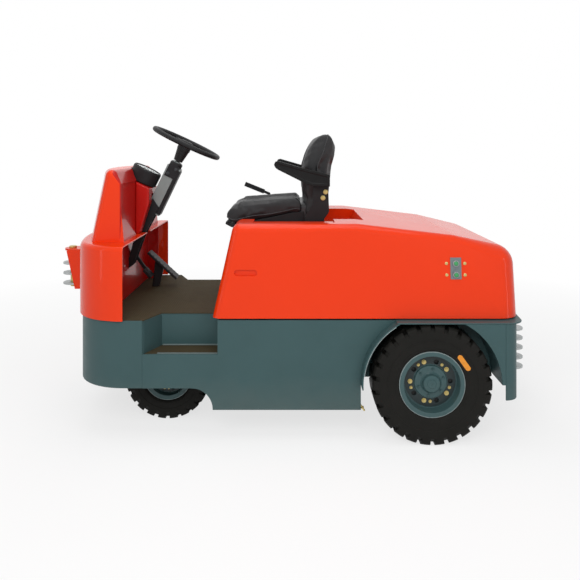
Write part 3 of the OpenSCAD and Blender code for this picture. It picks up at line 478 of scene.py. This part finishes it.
def tube(points, radius):
    curve = bpy.data.curves.new("path", "CURVE")
    curve.dimensions = "3D"
    curve.bevel_depth = radius
    curve.bevel_resolution = 3
    curve.use_fill_caps = True
    spline = curve.splines.new("POLY")
    spline.points.add(len(points) - 1)
    for knot, point in zip(spline.points, points):
        knot.co = (*point, 1.0)
    piece = bpy.data.objects.new("path", curve)
    bpy.context.collection.objects.link(piece)
    only(piece)
    bpy.ops.object.convert(target="MESH")
    return bpy.context.object


def block(size, place, width=0.002, segments=2):  # a box with softened edges, laid by a matrix
    only(None)
    bpy.ops.mesh.primitive_cube_add(size=1.0)
    piece = bpy.context.object
    piece.scale = size
    bpy.ops.object.transform_apply(scale=True)
    soften(piece, width, segments)
    piece.matrix_world = place
    smooth(piece, 40.0)
    return piece


def joinAll(pieces):
    only(pieces[0])
    for piece in pieces:
        piece.select_set(True)
    bpy.ops.object.join()
    return bpy.context.object


def hexBolt():  # one unit across, standing on Z
    only(None)
    bpy.ops.mesh.primitive_cylinder_add(vertices=24, radius=0.72, depth=0.12, location=(0, 0, 0.06))
    bolt = bpy.context.object
    bpy.ops.object.transform_apply(location=True)
    editAll(bolt)
    bpy.ops.mesh.primitive_cylinder_add(vertices=6, radius=0.56, depth=0.46, location=(0, 0, 0.35))
    bpy.ops.mesh.primitive_cylinder_add(vertices=16, radius=0.28, depth=0.24, location=(0, 0, 0.70))
    only(bolt)
    soften(bolt, 0.045, 2)
    return bolt


def roundScrew():
    return turned([(0.0, 0.16), (0.10, 0.16), (0.12, 0.30), (0.30, 0.27), (0.46, 0.14), (0.5, 0.0), (0.5, -0.1)], 24)


def scatter(master, name, spots, rides, slotName, look=None):
    made = []
    for place in spots:
        one = bpy.data.objects.new(name, master.data.copy())
        bpy.context.collection.objects.link(one)
        one.matrix_world = place
        made.append(bakePlace(one))
    piece = joinAll(made)
    smooth(piece, 30.0)
    return settle(piece, name, rides, slotName, look)


hexMaster = hexBolt()
screwMaster = roundScrew()

# wheels

wheelSets = {
    "rear": {"y": 0.522, "stud": 0.092, "face": 0.014, "nut": 0.015,
             "second": 0.010, "hollow": (0.048, 0.112), "boss": 0.060, "bossFace": 0.0262, "bolt": 0.011,
             "cap": 0.052, "capR": 0.037, "rings": ((0.2045, 0.0768), (0.166, 0.0662))},
    "front": {"y": 0.250, "stud": 0.068, "face": 0.014, "nut": 0.012,
              "second": 0.008, "hollow": (0.034, 0.083), "boss": 0.040, "bossFace": 0.0262, "bolt": 0.008,
              "cap": 0.042, "capR": 0.023, "rings": ((0.157, 0.0515), (0.131, 0.0455))},
}


def makeWheelDetail():
    for axle, w in wheelSets.items():
        x, z = axles[axle]
        for side, sign in (("left", 1), ("right", -1)):
            rides = f"{axle}_{side}_wheel"
            hub = Vector((x, sign * w["y"], z))
            out = Vector((0, sign, 0))

            def around(radius, step, depth, shift=0.0):
                angle = math.radians(step + shift)
                return hub + out * depth + Vector((radius * math.cos(angle), 0, -radius * math.sin(angle)))

            nuts = [aim(around(w["stud"], i * 72, w["face"]), out, i * 0.7, w["nut"]) for i in range(5)]
            scatter(hexMaster, camel(f"{axle}_{side}_wheel_nuts"), nuts, rides, "zinc")
            seatedAt = w["bossFace"] - 0.001
            bolts = [aim(around(w["boss"], i * 60, seatedAt, 20), out, i * 0.5, w["bolt"]) for i in range(6)]
            scatter(hexMaster, camel(f"{axle}_{side}_hub_bolts"), bolts, rides, "chassis_paint")
            more = [aim(around(w["stud"], i * 72, w["face"], 18), out, i * 0.4, w["second"]) for i in range(5)]
            scatter(hexMaster, camel(f"{axle}_{side}_clamp_bolts"), more, rides, "zinc")
            low, high = w["hollow"]
            drum = turned([(low, -0.006), (high, -0.006), (high, 0.0014), (low, 0.0014)], 48, True)
            drum.matrix_world = aim(hub, out)
            smooth(drum, 30.0)
            settle(drum, camel(f"{axle}_{side}_drum_plate"), rides, "running_gear", drumLook)
            r = w["capR"]
            cap = turned([(0.0, -0.003), (0.10 * r, -0.003), (0.14 * r, 0.0018), (0.5 * r, 0.0024), (0.55 * r, 0.001),
                          (0.6 * r, 0.0024), (0.9 * r, 0.0018), (r, -0.0005), (r, -0.004)], 48)
            cap.matrix_world = aim(hub + out * w["cap"], out)
            smooth(cap, 30.0)
            settle(cap, camel(f"{axle}_{side}_hub_cap"), rides, "chassis_paint")
            bands = []
            for radius, rise in w["rings"]:
                band = turned([(radius - 0.004, -0.003), (radius - 0.0015, 0.0008), (radius + 0.0015, 0.0012),
                               (radius + 0.004, -0.003)], 96, True)
                band.matrix_world = aim(hub + out * (rise - 0.0004), out)
                bands.append(bakePlace(band))
            ring = joinAll(bands)
            smooth(ring, 50.0)
            settle(ring, camel(f"{axle}_{side}_sidewall_bands"), rides, "tyre")


badge = {"radius": 0.1757, "angle": 144.3, "half": 0.030, "end": 0.0115, "lift": 0.0004, "thick": 0.0012}
sidewall = {"r": 0.1573, "rise": 0.0637, "wide": 0.0523, "out": 0.0143}  # the flank under the badge


def makeBadge():  # the plain coloured lozenge on the rear tyre's sidewall
    x, z = axles["rear"]
    edge = [(badge["half"] + badge["end"] * math.cos(a), badge["end"] * math.sin(a))
            for a in [math.radians(-90 + 180 * i / 8) for i in range(9)]]
    edge += [(-t, -n) for t, n in edge]

    def onTyre(t, n):
        radius = badge["radius"] + n
        angle = math.radians(badge["angle"]) + t / badge["radius"]
        rise = sidewall["rise"] + (radius - sidewall["r"]) / sidewall["wide"] * sidewall["out"]
        y = wheelSets["rear"]["y"] + rise + badge["lift"]
        return (x + radius * math.cos(angle), y, z + radius * math.sin(angle))

    piece = thicken(outline([onTyre(t, n) for t, n in edge]), (0, badge["thick"], 0))
    soften(piece, 0.0004, 1)
    settle(piece, "tyreBadge", "rear_left_wheel", "zinc", badgeLook)


makeWheelDetail()
makeBadge()
print("wheel detail made")

# seat

pad = {"inset": 0.007, "round": 0.024, "voxel": 0.006, "pressure": 4.0, "frames": 20, "cap": 0.014}
seat = {"x": -0.058, "half": 0.232, "pleats": (0.0, 0.052, 0.104), "bolster": 0.152, "frontRoll": 0.338,
        "headRoll": 1.335}
stitch = {"pleat": (0.0055, 0.0055), "bolster": (0.008, 0.006), "roll": (0.006, 0.006)}  # depth and width
weltSize = {"r": 0.0032, "lift": 0.0005, "top": 1.44, "out": 0.03}


def swell(piece):  # the pad is blown up as cloth, and no point goes further than the cap
    before = [vertex.co.copy() for vertex in piece.data.vertices]
    only(piece)
    mod = piece.modifiers.new("filling", "CLOTH")
    mod.settings.quality = 4
    mod.settings.use_pressure = True
    mod.settings.uniform_pressure_force = pad["pressure"]
    mod.settings.effector_weights.gravity = 0.0
    mod.collision_settings.use_collision = False
    mod.point_cache.frame_end = pad["frames"]
    for step in range(1, pad["frames"] + 1):
        bpy.context.scene.frame_set(step)
    bpy.ops.object.modifier_apply(modifier=mod.name)
    bpy.context.scene.frame_set(1)
    for vertex, start in zip(piece.data.vertices, before):
        move = vertex.co - start
        if move.length > pad["cap"]:
            vertex.co = start + move * (pad["cap"] / move.length)


def fadeIn(value, low, high):
    t = min(1.0, max(0.0, (value - low) / (high - low)))
    return t * t * (3.0 - 2.0 * t)


def notch(distance, width):
    return math.exp(-(distance / width) ** 2)


def sewn(kind, distance):
    depth, width = stitch[kind]
    return depth * notch(distance, width)


def sewnDip(across, toRoll, middle, run):  # the deepest of the lines near a point
    dips = [sewn("pleat", across - line) * middle * run for line in seat["pleats"]]
    return max(*dips, sewn("bolster", across - seat["bolster"]) * run, sewn("roll", toRoll) * middle)


def padFrom(node, name):
    piece = copyNode(node)
    piece.name = name
    soften(piece, pad["round"], 4, 25.0)
    low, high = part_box(node)
    middle = (Vector(low) + Vector(high)) / 2
    size = Vector(high) - Vector(low)
    for vertex in piece.data.vertices:
        vertex.co = middle + Vector([(vertex.co[i] - middle[i]) * (1 - 2 * pad["inset"] / size[i]) for i in range(3)])
    applyMod(piece, "REMESH", mode="VOXEL", voxel_size=pad["voxel"])
    swell(piece)
    applyMod(piece, "SMOOTH", factor=0.5, iterations=4)
    applyMod(piece, "SUBSURF", levels=1, render_levels=1)
    return piece


def sewCushion(piece):
    tilts = [vertex.normal.z for vertex in piece.data.vertices]
    for vertex, tilt in zip(piece.data.vertices, tilts):
        face = fadeIn(tilt, 0.15, 0.6)
        if face == 0.0:
            continue
        along = vertex.co.x - seat["x"]
        across = abs(vertex.co.y)
        middle = 1.0 - fadeIn(across, seat["bolster"] - 0.012, seat["bolster"])
        run = (1.0 - fadeIn(along, seat["frontRoll"] - 0.015, seat["frontRoll"])) * fadeIn(along, 0.02, 0.05)
        dip = sewnDip(across, along - seat["frontRoll"], middle, run)
        puff = 0.007 * notch(across - 0.188, 0.028) * run - 0.006 * middle * run
        vertex.co.z += face * (puff - dip)


def sewBackrest(piece):
    tilts = [vertex.normal.x for vertex in piece.data.vertices]
    for vertex, tilt in zip(piece.data.vertices, tilts):
        face = fadeIn(tilt, 0.15, 0.6)
        if face == 0.0:
            continue
        across = abs(vertex.co.y)
        middle = 1.0 - fadeIn(across, seat["bolster"] - 0.012, seat["bolster"])
        high = vertex.co.z
        run = (1.0 - fadeIn(high, seat["headRoll"] - 0.015, seat["headRoll"])) * fadeIn(high, 1.05, 1.08)
        dip = sewnDip(across, high - seat["headRoll"], middle, run)
        vertex.co.x -= face * (dip + 0.006 * middle * run)


def snapped(piece, points, lift):  # a path laid on the piece's skin
    mesh = piece.data
    skin = BVHTree.FromPolygons([vertex.co.copy() for vertex in mesh.vertices],
                                [tuple(face.vertices) for face in mesh.polygons])
    path = []
    for point in points:
        spot, normal, index, gap = skin.find_nearest(Vector(point))
        path.append(spot + normal * lift)
    for turn in range(4):  # the sewn line runs even
        path = path[:1] + [(a + b * 2 + c) / 4 for a, b, c in zip(path, path[1:], path[2:])] + path[-1:]
    return path


def between(a, b, count):
    return [tuple(a[i] + (b[i] - a[i]) * step / count for i in range(3)) for step in range(count)]


# X and Z along the cushion's lower edge, Z and X along the backrest's side
cushionWelt = [(-0.05, 1.020), (0.0, 1.014), (0.12, 0.990), (0.27, 0.962), (0.316, 0.962), (0.345, 0.975)]
backWelt = [(1.02, -0.118), (1.075, -0.125), (1.13, -0.128), (1.24, -0.140), (1.30, -0.157),
            (1.347, -0.168), (1.39, -0.180)]


def makeWelt(name, piece, points):
    welt = tube(snapped(piece, points, weltSize["lift"]), weltSize["r"])
    smooth(welt, 60.0)
    settle(welt, name, "hood_body", "vinyl", weltLook)


def makeSeat():
    cushion = padFrom("seat_cushion", "seatCushion")
    sewCushion(cushion)
    only(cushion)
    bpy.ops.object.shade_smooth()
    reach = seat["half"] + weltSize["out"]
    path = []
    for (xa, za), (xb, zb) in zip(cushionWelt, cushionWelt[1:]):
        path += between((xa, reach, za), (xb, reach, zb), 8)
    tip = cushionWelt[-1]
    front = between((tip[0] + 0.02, reach - 0.02, tip[1]), (tip[0] + 0.02, 0.02 - reach, tip[1]), 40)
    back = [(x, -y, z) for x, y, z in reversed(path)]
    makeWelt("cushionWelt", cushion, path + front + back)

    backrest = padFrom("seat_backrest", "seatBackrest")
    sewBackrest(backrest)
    only(backrest)
    bpy.ops.object.shade_smooth()
    side = []
    for (za, xa), (zb, xb) in zip(backWelt, backWelt[1:]):
        side += between((xa, reach, za), (xb, reach, zb), 8)
    x, z = backWelt[-1][1] - 0.01, weltSize["top"]
    top = between((x, reach - 0.02, z), (x, 0.02 - reach, z), 40)
    other = [(x, -y, z) for x, y, z in reversed(side)]
    makeWelt("backrestWelt", backrest, side + top + other)

    for piece, node in ((cushion, "seat_cushion"), (backrest, "seat_backrest")):
        settle(piece, piece.name, "hood_body", "vinyl")
        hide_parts(node)


def makeArmrests():
    for side, sign in (("left", 1), ("right", -1)):
        node = "armrest_" + side
        piece = copyNode(node)
        bpy.ops.object.mode_set(mode="EDIT")
        bpy.ops.mesh.select_all(action="DESELECT")
        bpy.ops.object.mode_set(mode="OBJECT")
        for face in piece.data.polygons:  # the flat outer side gets a sunk panel
            face.select = face.normal.y * sign > 0.9
        bpy.ops.object.mode_set(mode="EDIT")
        bpy.ops.mesh.select_mode(type="FACE")
        bpy.ops.mesh.inset(thickness=0.012, depth=0.0)
        bpy.ops.mesh.inset(thickness=0.003, depth=-0.003)
        bpy.ops.mesh.select_mode(type="VERT")
        only(piece)
        soften(piece, 0.009, 4, 40.0)
        smooth(piece, 45.0)
        settle(piece, camel(node) + "Pad", "hood_body", "black_plastic", armLook)
        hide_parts(node)


crease = {"size": (0.074, 0.41, 0.110), "spot": (-0.062, 0.0, 1.000)}


def makeCrease():  # the dark roll that closes the gap between cushion and backrest
    roll = block(crease["size"], Matrix.Translation(crease["spot"]), 0.024, 4)
    settle(roll, "seatCrease", "hood_body", "vinyl", weltLook)


makeSeat()
makeCrease()
makeArmrests()
bracket = {"bolts": ((-0.163, 1.112), (-0.150, 1.082)), "y": 0.242, "size": 0.017}
bracketSpots = [aim((x, s * bracket["y"], z), (0, s, 0), 0.3, bracket["size"])
                for x, z in bracket["bolts"] for s in (1, -1)]
scatter(hexMaster, "seatBracketBolts", bracketSpots, "hood_body", "zinc")
print("seat made")

# controls

columnPlace = Matrix.Translation((0.572, 0.0, 1.358)) @ Matrix.Rotation(math.radians(-25.7), 4, "Y")
podPlace = Matrix.Translation((0.812, 0.0, 1.151)) @ Matrix.Rotation(math.radians(-26.6), 4, "Y")
column = {"cover": (0.022, 0.060, 0.258), "coverSpot": (-0.031, 0.0, -0.280), "cheek": (0.060, 0.006, 0.070),
          "cheekSpot": (0.0, 0.030, -0.168)}
pod = {"glassR": 0.0645, "glassZ": 0.0745, "dialR": 0.062, "dialZ": 0.0722, "ticks": 11, "tickR": 0.046}


def makeColumn():
    shift = Matrix.Translation
    cover = block(column["cover"], columnPlace @ shift(column["coverSpot"]), 0.004, 3)
    settle(cover, "columnRearCover", "chassis", "black_plastic")
    collar = turned([(0.0125, -0.140), (0.031, -0.140), (0.034, -0.136), (0.034, -0.122),
                     (0.030, -0.116), (0.0125, -0.116)], 48, True)
    collar.matrix_world = columnPlace
    smooth(collar, 30.0)
    settle(collar, "columnCollar", "chassis", "black_plastic")
    x, y, z = column["cheekSpot"]
    cheeks = [bakePlace(block(column["cheek"], columnPlace @ shift((x, s * y, z)), 0.002)) for s in (1, -1)]
    settle(joinAll(cheeks), "columnCheeks", "chassis", "black_plastic")
    turnOut = columnPlace.to_3x3()
    bolts = [aim(columnPlace @ Vector((dx, s * 0.033, -0.168 + dz)), turnOut @ Vector((0, s, 0)), 0.4, 0.013)
             for dx, dz in ((-0.016, 0.018), (0.016, -0.018)) for s in (1, -1)]
    scatter(hexMaster, "columnBolts", bolts, "chassis", "black_plastic", finish["running_gear"])
    cap = turned([(0.0, 0.0065), (0.012, 0.006), (0.013, 0.0045), (0.026, 0.005), (0.032, 0.003),
                  (0.034, -0.001), (0.034, -0.004)], 48)
    cap.matrix_world = columnPlace @ shift((0, 0, 0.0045))
    smooth(cap, 30.0)
    settle(cap, "steeringHubCap", "steering_wheel_body", "black_plastic")


def makePod():
    r, z = pod["dialR"], pod["dialZ"]
    dial = turned([(0.0, z + 0.0006), (r - 0.002, z + 0.0006), (r, z), (r, z - 0.002)], 64)
    dial.matrix_world = podPlace
    settle(dial, "podDial", "chassis", "black_plastic", dialLook)
    r, z = pod["glassR"], pod["glassZ"]
    glass = turned([(0.0, z + 0.0025), (0.030, z + 0.002), (0.058, z + 0.0006), (r, z)], 64)
    applyMod(glass, "SOLIDIFY", thickness=0.0012)
    glass.matrix_world = podPlace
    smooth(glass, 30.0)
    settle(glass, "podGlass", "chassis", "black_plastic", glassLook)
    marks = []
    for i in range(pod["ticks"]):
        angle = math.radians(200 - i * 220 / (pod["ticks"] - 1))
        spot = Vector((pod["tickR"] * math.sin(angle) * -1, pod["tickR"] * math.cos(angle), pod["dialZ"] + 0.0008))
        mark = block((0.009 if i % 5 == 0 else 0.006, 0.0016, 0.0006),
                     podPlace @ Matrix.Translation(spot) @ Matrix.Rotation(angle + math.pi / 2, 4, "Z"), 0.0002, 1)
        marks.append(bakePlace(mark))
    settle(joinAll(marks), "podMarks", "chassis", "plate_grey", markLook)


pedals = {  # heel, top, width from and to, ribs
    "accelerator": {"low": (0.657, 0.593), "high": (0.819, 0.741), "y": (-0.255, -0.170), "ribs": 9},
    "brake": {"low": (0.784, 0.616), "high": (0.824, 0.659), "y": (-0.165, -0.085), "ribs": 4},
}


def makePedalRibs():
    for name, p in pedals.items():
        low, high = Vector((p["low"][0], 0, p["low"][1])), Vector((p["high"][0], 0, p["high"][1]))
        up = (high - low).normalized()
        out = Vector((-up.z, 0, up.x))
        y = sum(p["y"]) / 2
        ribs = []
        for i in range(p["ribs"]):
            spot = low.lerp(high, (i + 0.5) / p["ribs"]) + out * 0.0072 + Vector((0, y, 0))
            rib = block((abs(p["y"][1] - p["y"][0]) - 0.012, 0.007, 0.004), aim(spot, out), 0.0012)
            ribs.append(bakePlace(rib))
        settle(joinAll(ribs), name + "PedalRibs", "chassis", "black_plastic")


makeColumn()
makePod()
makePedalRibs()
print("controls made")

# hood and chassis detail

buttons = {"x": -0.746, "y": 0.518, "z": 0.777, "lean": 6.89, "rise": 0.013, "gap": 0.0255, "r": 0.0105}


def makeButtons():
    lean = math.radians(buttons["lean"])
    out = Vector((0, math.cos(lean), math.sin(lean)))
    up = Vector((0, -math.sin(lean), math.cos(lean)))
    base = Vector((buttons["x"], buttons["y"], buttons["z"]))
    r = buttons["r"]
    cap = [(0.0, 0.006), (0.6 * r, 0.0055), (0.9 * r, 0.0035), (r, 0.001), (r, -0.004)]
    rim = [(r * 1.08, -0.003), (r * 1.08, 0.002), (r * 1.14, 0.0032), (r * 1.26, 0.0028),
           (r * 1.32, 0.001), (r * 1.32, -0.003)]
    for name, rows, steps, closed, look in (("hoodButtons", cap, 32, False, buttonLook),
                                            ("hoodButtonRings", rim, 40, True, markLook)):
        made = []
        for step in (-1, 1):
            piece = turned(rows, steps, closed)
            piece.matrix_world = aim(base + out * (buttons["rise"] - 0.002) + up * step * buttons["gap"], out)
            smooth(piece, 40.0)
            made.append(bakePlace(piece))
        settle(joinAll(made), name, "hood_body", "plate_grey", look)
    corners = [aim(base + up * dz + Vector((dx, 0, 0)), out, dx * 40, 0.016)
               for dx in (-0.042, 0.042) for dz in (-0.026, 0.026)]
    scatter(screwMaster, "buttonPlateScrews", corners, "hood_body", "zinc")


lip = {"x": 0.8046, "z": 0.8695, "y": 0.44, "r": 0.0016}
stepTrim = {"rear": (0.344, 0.623), "z": 0.393, "back": 0.395, "front": 0.532}


def makeTrim():
    # a thin dark red tube along the cowl lip where it casts a shadow line: painted shadow
    shadowLine = tube([(lip["x"], -lip["y"] + i * lip["y"] / 10, lip["z"]) for i in range(21)], lip["r"])
    settle(shadowLine, "cowlLipShadowLine", "chassis", "black_plastic", shadowLineLook)
    for side, sign in (("left", 1), ("right", -1)):
        x0, x1 = stepTrim["rear"]
        long, x, z = x1 - x0 - 0.004, (x0 + x1) / 2, stepTrim["z"]
        backSpot = (x, sign * (stepTrim["back"] + 0.0045), z + 0.0028)
        frontSpot = (x, sign * (stepTrim["front"] - 0.007), z + 0.0012)
        strips = [block((long, 0.008, 0.006), Matrix.Translation(backSpot), 0.002),
                  block((long, 0.012, 0.003), Matrix.Translation(frontSpot), 0.001)]
        trim = joinAll([bakePlace(strip) for strip in strips])
        settle(trim, camel("step_trim_" + side), "chassis", "chassis_paint", stepLook)


arch = {"r": 0.3088, "y": 0.5978, "from": 122.0, "to": 172.0, "thick": 0.0021}


def makeArchEdge():  # the rubbed front edge of the rear wheel arch, made lighter for worn paint and for a painted highlight
    x, z = axles["rear"]
    for side, sign in (("left", 1), ("right", -1)):
        turns = [math.radians(180.0 - arch["to"] + (arch["to"] - arch["from"]) * i / 40) for i in range(41)]
        path = [(x + arch["r"] * math.cos(a), sign * arch["y"], z + arch["r"] * math.sin(a)) for a in turns]
        edge = tube(path, arch["thick"])
        smooth(edge, 60.0)
        settle(edge, camel("arch_edge_" + side), "chassis", "chassis_paint", wornAndHighlightLook)


boltRows = {
    "rearCouplerBolts": {"x": -1.060, "y": (0.066,), "z": (0.175, 0.268, 0.365), "size": 0.019, "rides": "chassis"},
    "frontCouplerBolts": {"x": 1.090, "y": (0.069,), "z": (0.615, 0.690, 0.775), "size": 0.013, "rides": "chassis"},
    "hingeBolts": {"x": -1.041, "y": (0.290, 0.310), "z": (0.614,), "size": 0.009, "rides": "hood_body"},
}


def makeFasteners():
    for name, row in boltRows.items():
        facing = (math.copysign(1.0, row["x"]), 0, 0)
        spots = [aim((row["x"], s * y, z), facing, 0.2, row["size"])
                 for s in (1, -1) for y in row["y"] for z in row["z"]]
        scatter(hexMaster, name, spots, row["rides"], "zinc")


brakeRod = {"from": (-0.286, 0.526, 0.190), "to": (-0.327, 0.526, 0.132), "r": 0.0042}


def makeBrakeRod():
    tab = block((0.034, 0.012, 0.036), Matrix.Translation(brakeRod["from"]), 0.002)
    settle(tab, "rodTab", "chassis", "chassis_paint")
    rod = tube([brakeRod["from"], brakeRod["to"]], brakeRod["r"])
    smooth(rod, 40.0)
    settle(rod, "brakeRod", "chassis", "zinc")
    way = Vector(brakeRod["to"]) - Vector(brakeRod["from"])
    nut = Vector(brakeRod["to"]) - way * 0.28
    scatter(hexMaster, "brakeRodNut", [aim(nut, way, 0.1, 0.012)], "chassis", "zinc")


cells = {"rows": 4, "columns": 6, "rise": 0.010, "gap": 0.012, "border": 0.030}


def makeCells():  # the battery's lids, plugs and links, seen when the hood is up
    low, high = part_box("battery")
    wide = (high[0] - low[0] - 2 * cells["border"]) / cells["rows"]
    deep = (high[1] - low[1] - 2 * cells["border"]) / cells["columns"]
    lids, plugs, links = [], [], []
    for i in range(cells["rows"]):
        for j in range(cells["columns"]):
            spot = (low[0] + cells["border"] + (i + 0.5) * wide, low[1] + cells["border"] + (j + 0.5) * deep,
                    high[2] + cells["rise"] / 2 - 0.001)
            lid = block((wide - cells["gap"], deep - cells["gap"], cells["rise"]), Matrix.Translation(spot), 0.003)
            lids.append(bakePlace(lid))
            top = high[2] + cells["rise"] - 0.002
            plugs.append(aim((spot[0], spot[1], top), (0, 0, 1), 0.0, 0.020))
            if j < cells["columns"] - 1:
                linkSpot = (spot[0] + wide * 0.25, spot[1] + deep * 0.5, top + 0.002)
                link = block((0.018, deep * 0.5, 0.004), Matrix.Translation(linkSpot), 0.001)
                links.append(bakePlace(link))
    settle(joinAll(lids), "batteryLids", "chassis", slotOf["battery"], finish["black_plastic"])
    scatter(screwMaster, "batteryPlugs", plugs, "chassis", slotOf["battery"], badgeLook)
    settle(joinAll(links), "batteryLinks", "chassis", slotOf["battery"], finish["running_gear"])


makeCells()
makeButtons()
makeTrim()
makeArchEdge()
makeFasteners()
makeBrakeRod()
for spare in (hexMaster, screwMaster):
    bpy.data.objects.remove(spare)
print("hood and chassis detail made")

shot = {"spot": (0.0, 3.54, 1.342), "focal": 659.0, "wide": 580.0, "sensor": 36.0, "shift": (-0.0052, -0.2483)}


def makeStage():
    bpy.ops.object.select_all(action="DESELECT")
    bpy.ops.mesh.primitive_plane_add(size=40.0, location=(0, 0, 0))
    floor = bpy.context.object
    floor.name = "studioFloor"
    f = Finish("studioFloor")
    f.set(Base_Color=(0.92, 0.92, 0.92), Roughness=0.9)
    rays = [f.node("ShaderNodeLightPath", out=kind)
            for kind in ("Is Camera Ray", "Is Glossy Ray", "Is Transmission Ray")]
    ray = rays[0] + rays[1] + rays[2]
    ray = ray.calc("MINIMUM", ray, 1.0)
    glow = f.node("ShaderNodeEmission", Color=(1, 1, 1), Strength=1.0)
    spot = f.node("ShaderNodeVectorMath", {"operation": "LENGTH"}, out=1, i0=f.place())
    fade = f.ramp(spot * 0.1, (0.17, 0.0), (0.40, 1.0))
    plain = Field(f.tree, f.shader.outputs[0])
    mixed = f.node("ShaderNodeMixShader", i0=ray * (fade * 0.28 + 0.72), i1=plain, i2=glow)
    f.tree.links.new(mixed.socket, f.tree.nodes["Material Output"].inputs["Surface"])
    floor.data.materials.append(f.material)


def makeLamp(name, spot, aim, size, power, mirrored=False):
    bpy.ops.object.light_add(type="AREA", location=spot)
    lamp = bpy.context.object
    lamp.name = name
    lamp.data.shape = "RECTANGLE"
    lamp.data.size, lamp.data.size_y = size
    lamp.data.energy = power
    lamp.visible_glossy = mirrored
    lamp.rotation_euler = (Vector(aim) - Vector(spot)).to_track_quat("-Z", "Y").to_euler()


worldLight = 0.26  # what the world adds to the lamps


def makeWorld():
    world = bpy.data.worlds.new("studioWorld")
    bpy.context.scene.world = world
    world.use_nodes = True
    tree = world.node_tree
    back = tree.nodes["Background"]
    back.inputs["Color"].default_value = (1, 1, 1, 1)
    path = tree.nodes.new("ShaderNodeLightPath")
    seen = Field(tree, path.outputs["Is Camera Ray"]) + Field(tree, path.outputs["Is Transmission Ray"])
    seen = seen + Field(tree, path.outputs["Is Glossy Ray"])  # metal and glass show the white background too
    shown = seen.calc("MINIMUM", seen, 1.0)
    tree.links.new((shown * (1.0 - worldLight) + worldLight).socket, back.inputs["Strength"])


def makeCamera():
    data = bpy.data.cameras.new("photoCamera")
    camera = bpy.data.objects.new("photoCamera", data)
    bpy.context.collection.objects.link(camera)
    data.sensor_width = shot["sensor"]
    data.lens = shot["sensor"] * shot["focal"] / shot["wide"]
    data.shift_x, data.shift_y = shot["shift"]
    camera.location = shot["spot"]
    camera.rotation_euler = (math.radians(90.0), 0.0, math.radians(180.0))
    bpy.context.scene.camera = camera


makeStage()
makeLamp("keyLamp", (1.0, 4.3, 3.2), (0.0, 0.3, 0.5), (2.4, 2.0), 100.0)
makeLamp("fillLamp", (-2.0, 4.4, 2.2), (-0.3, 0.3, 0.5), (2.2, 2.0), 42.0)
makeLamp("topLamp", (0.2, 0.2, 4.0), (0.0, 0.0, 0.5), (3.2, 2.2), 46.0, True)
makeLamp("backLamp", (0.6, -3.6, 2.4), (0.0, 0.0, 0.6), (3.0, 2.0), 40.0)
makeLamp("edgeStrip", (0.0, 1.9, 3.6), (0.0, 0.3, 0.8), (3.4, 0.22), 11.0, True)
makeLamp("frontStrip", (3.6, 2.0, 1.3), (0.0, 0.3, 0.8), (0.25, 2.4), 4.0, True)
makeLamp("rearStrip", (-3.6, 2.0, 1.3), (0.0, 0.3, 0.8), (0.25, 2.4), 7.0, True)
makeWorld()
makeCamera()
bpy.context.scene.view_settings.view_transform = "Standard"
print("stage set")
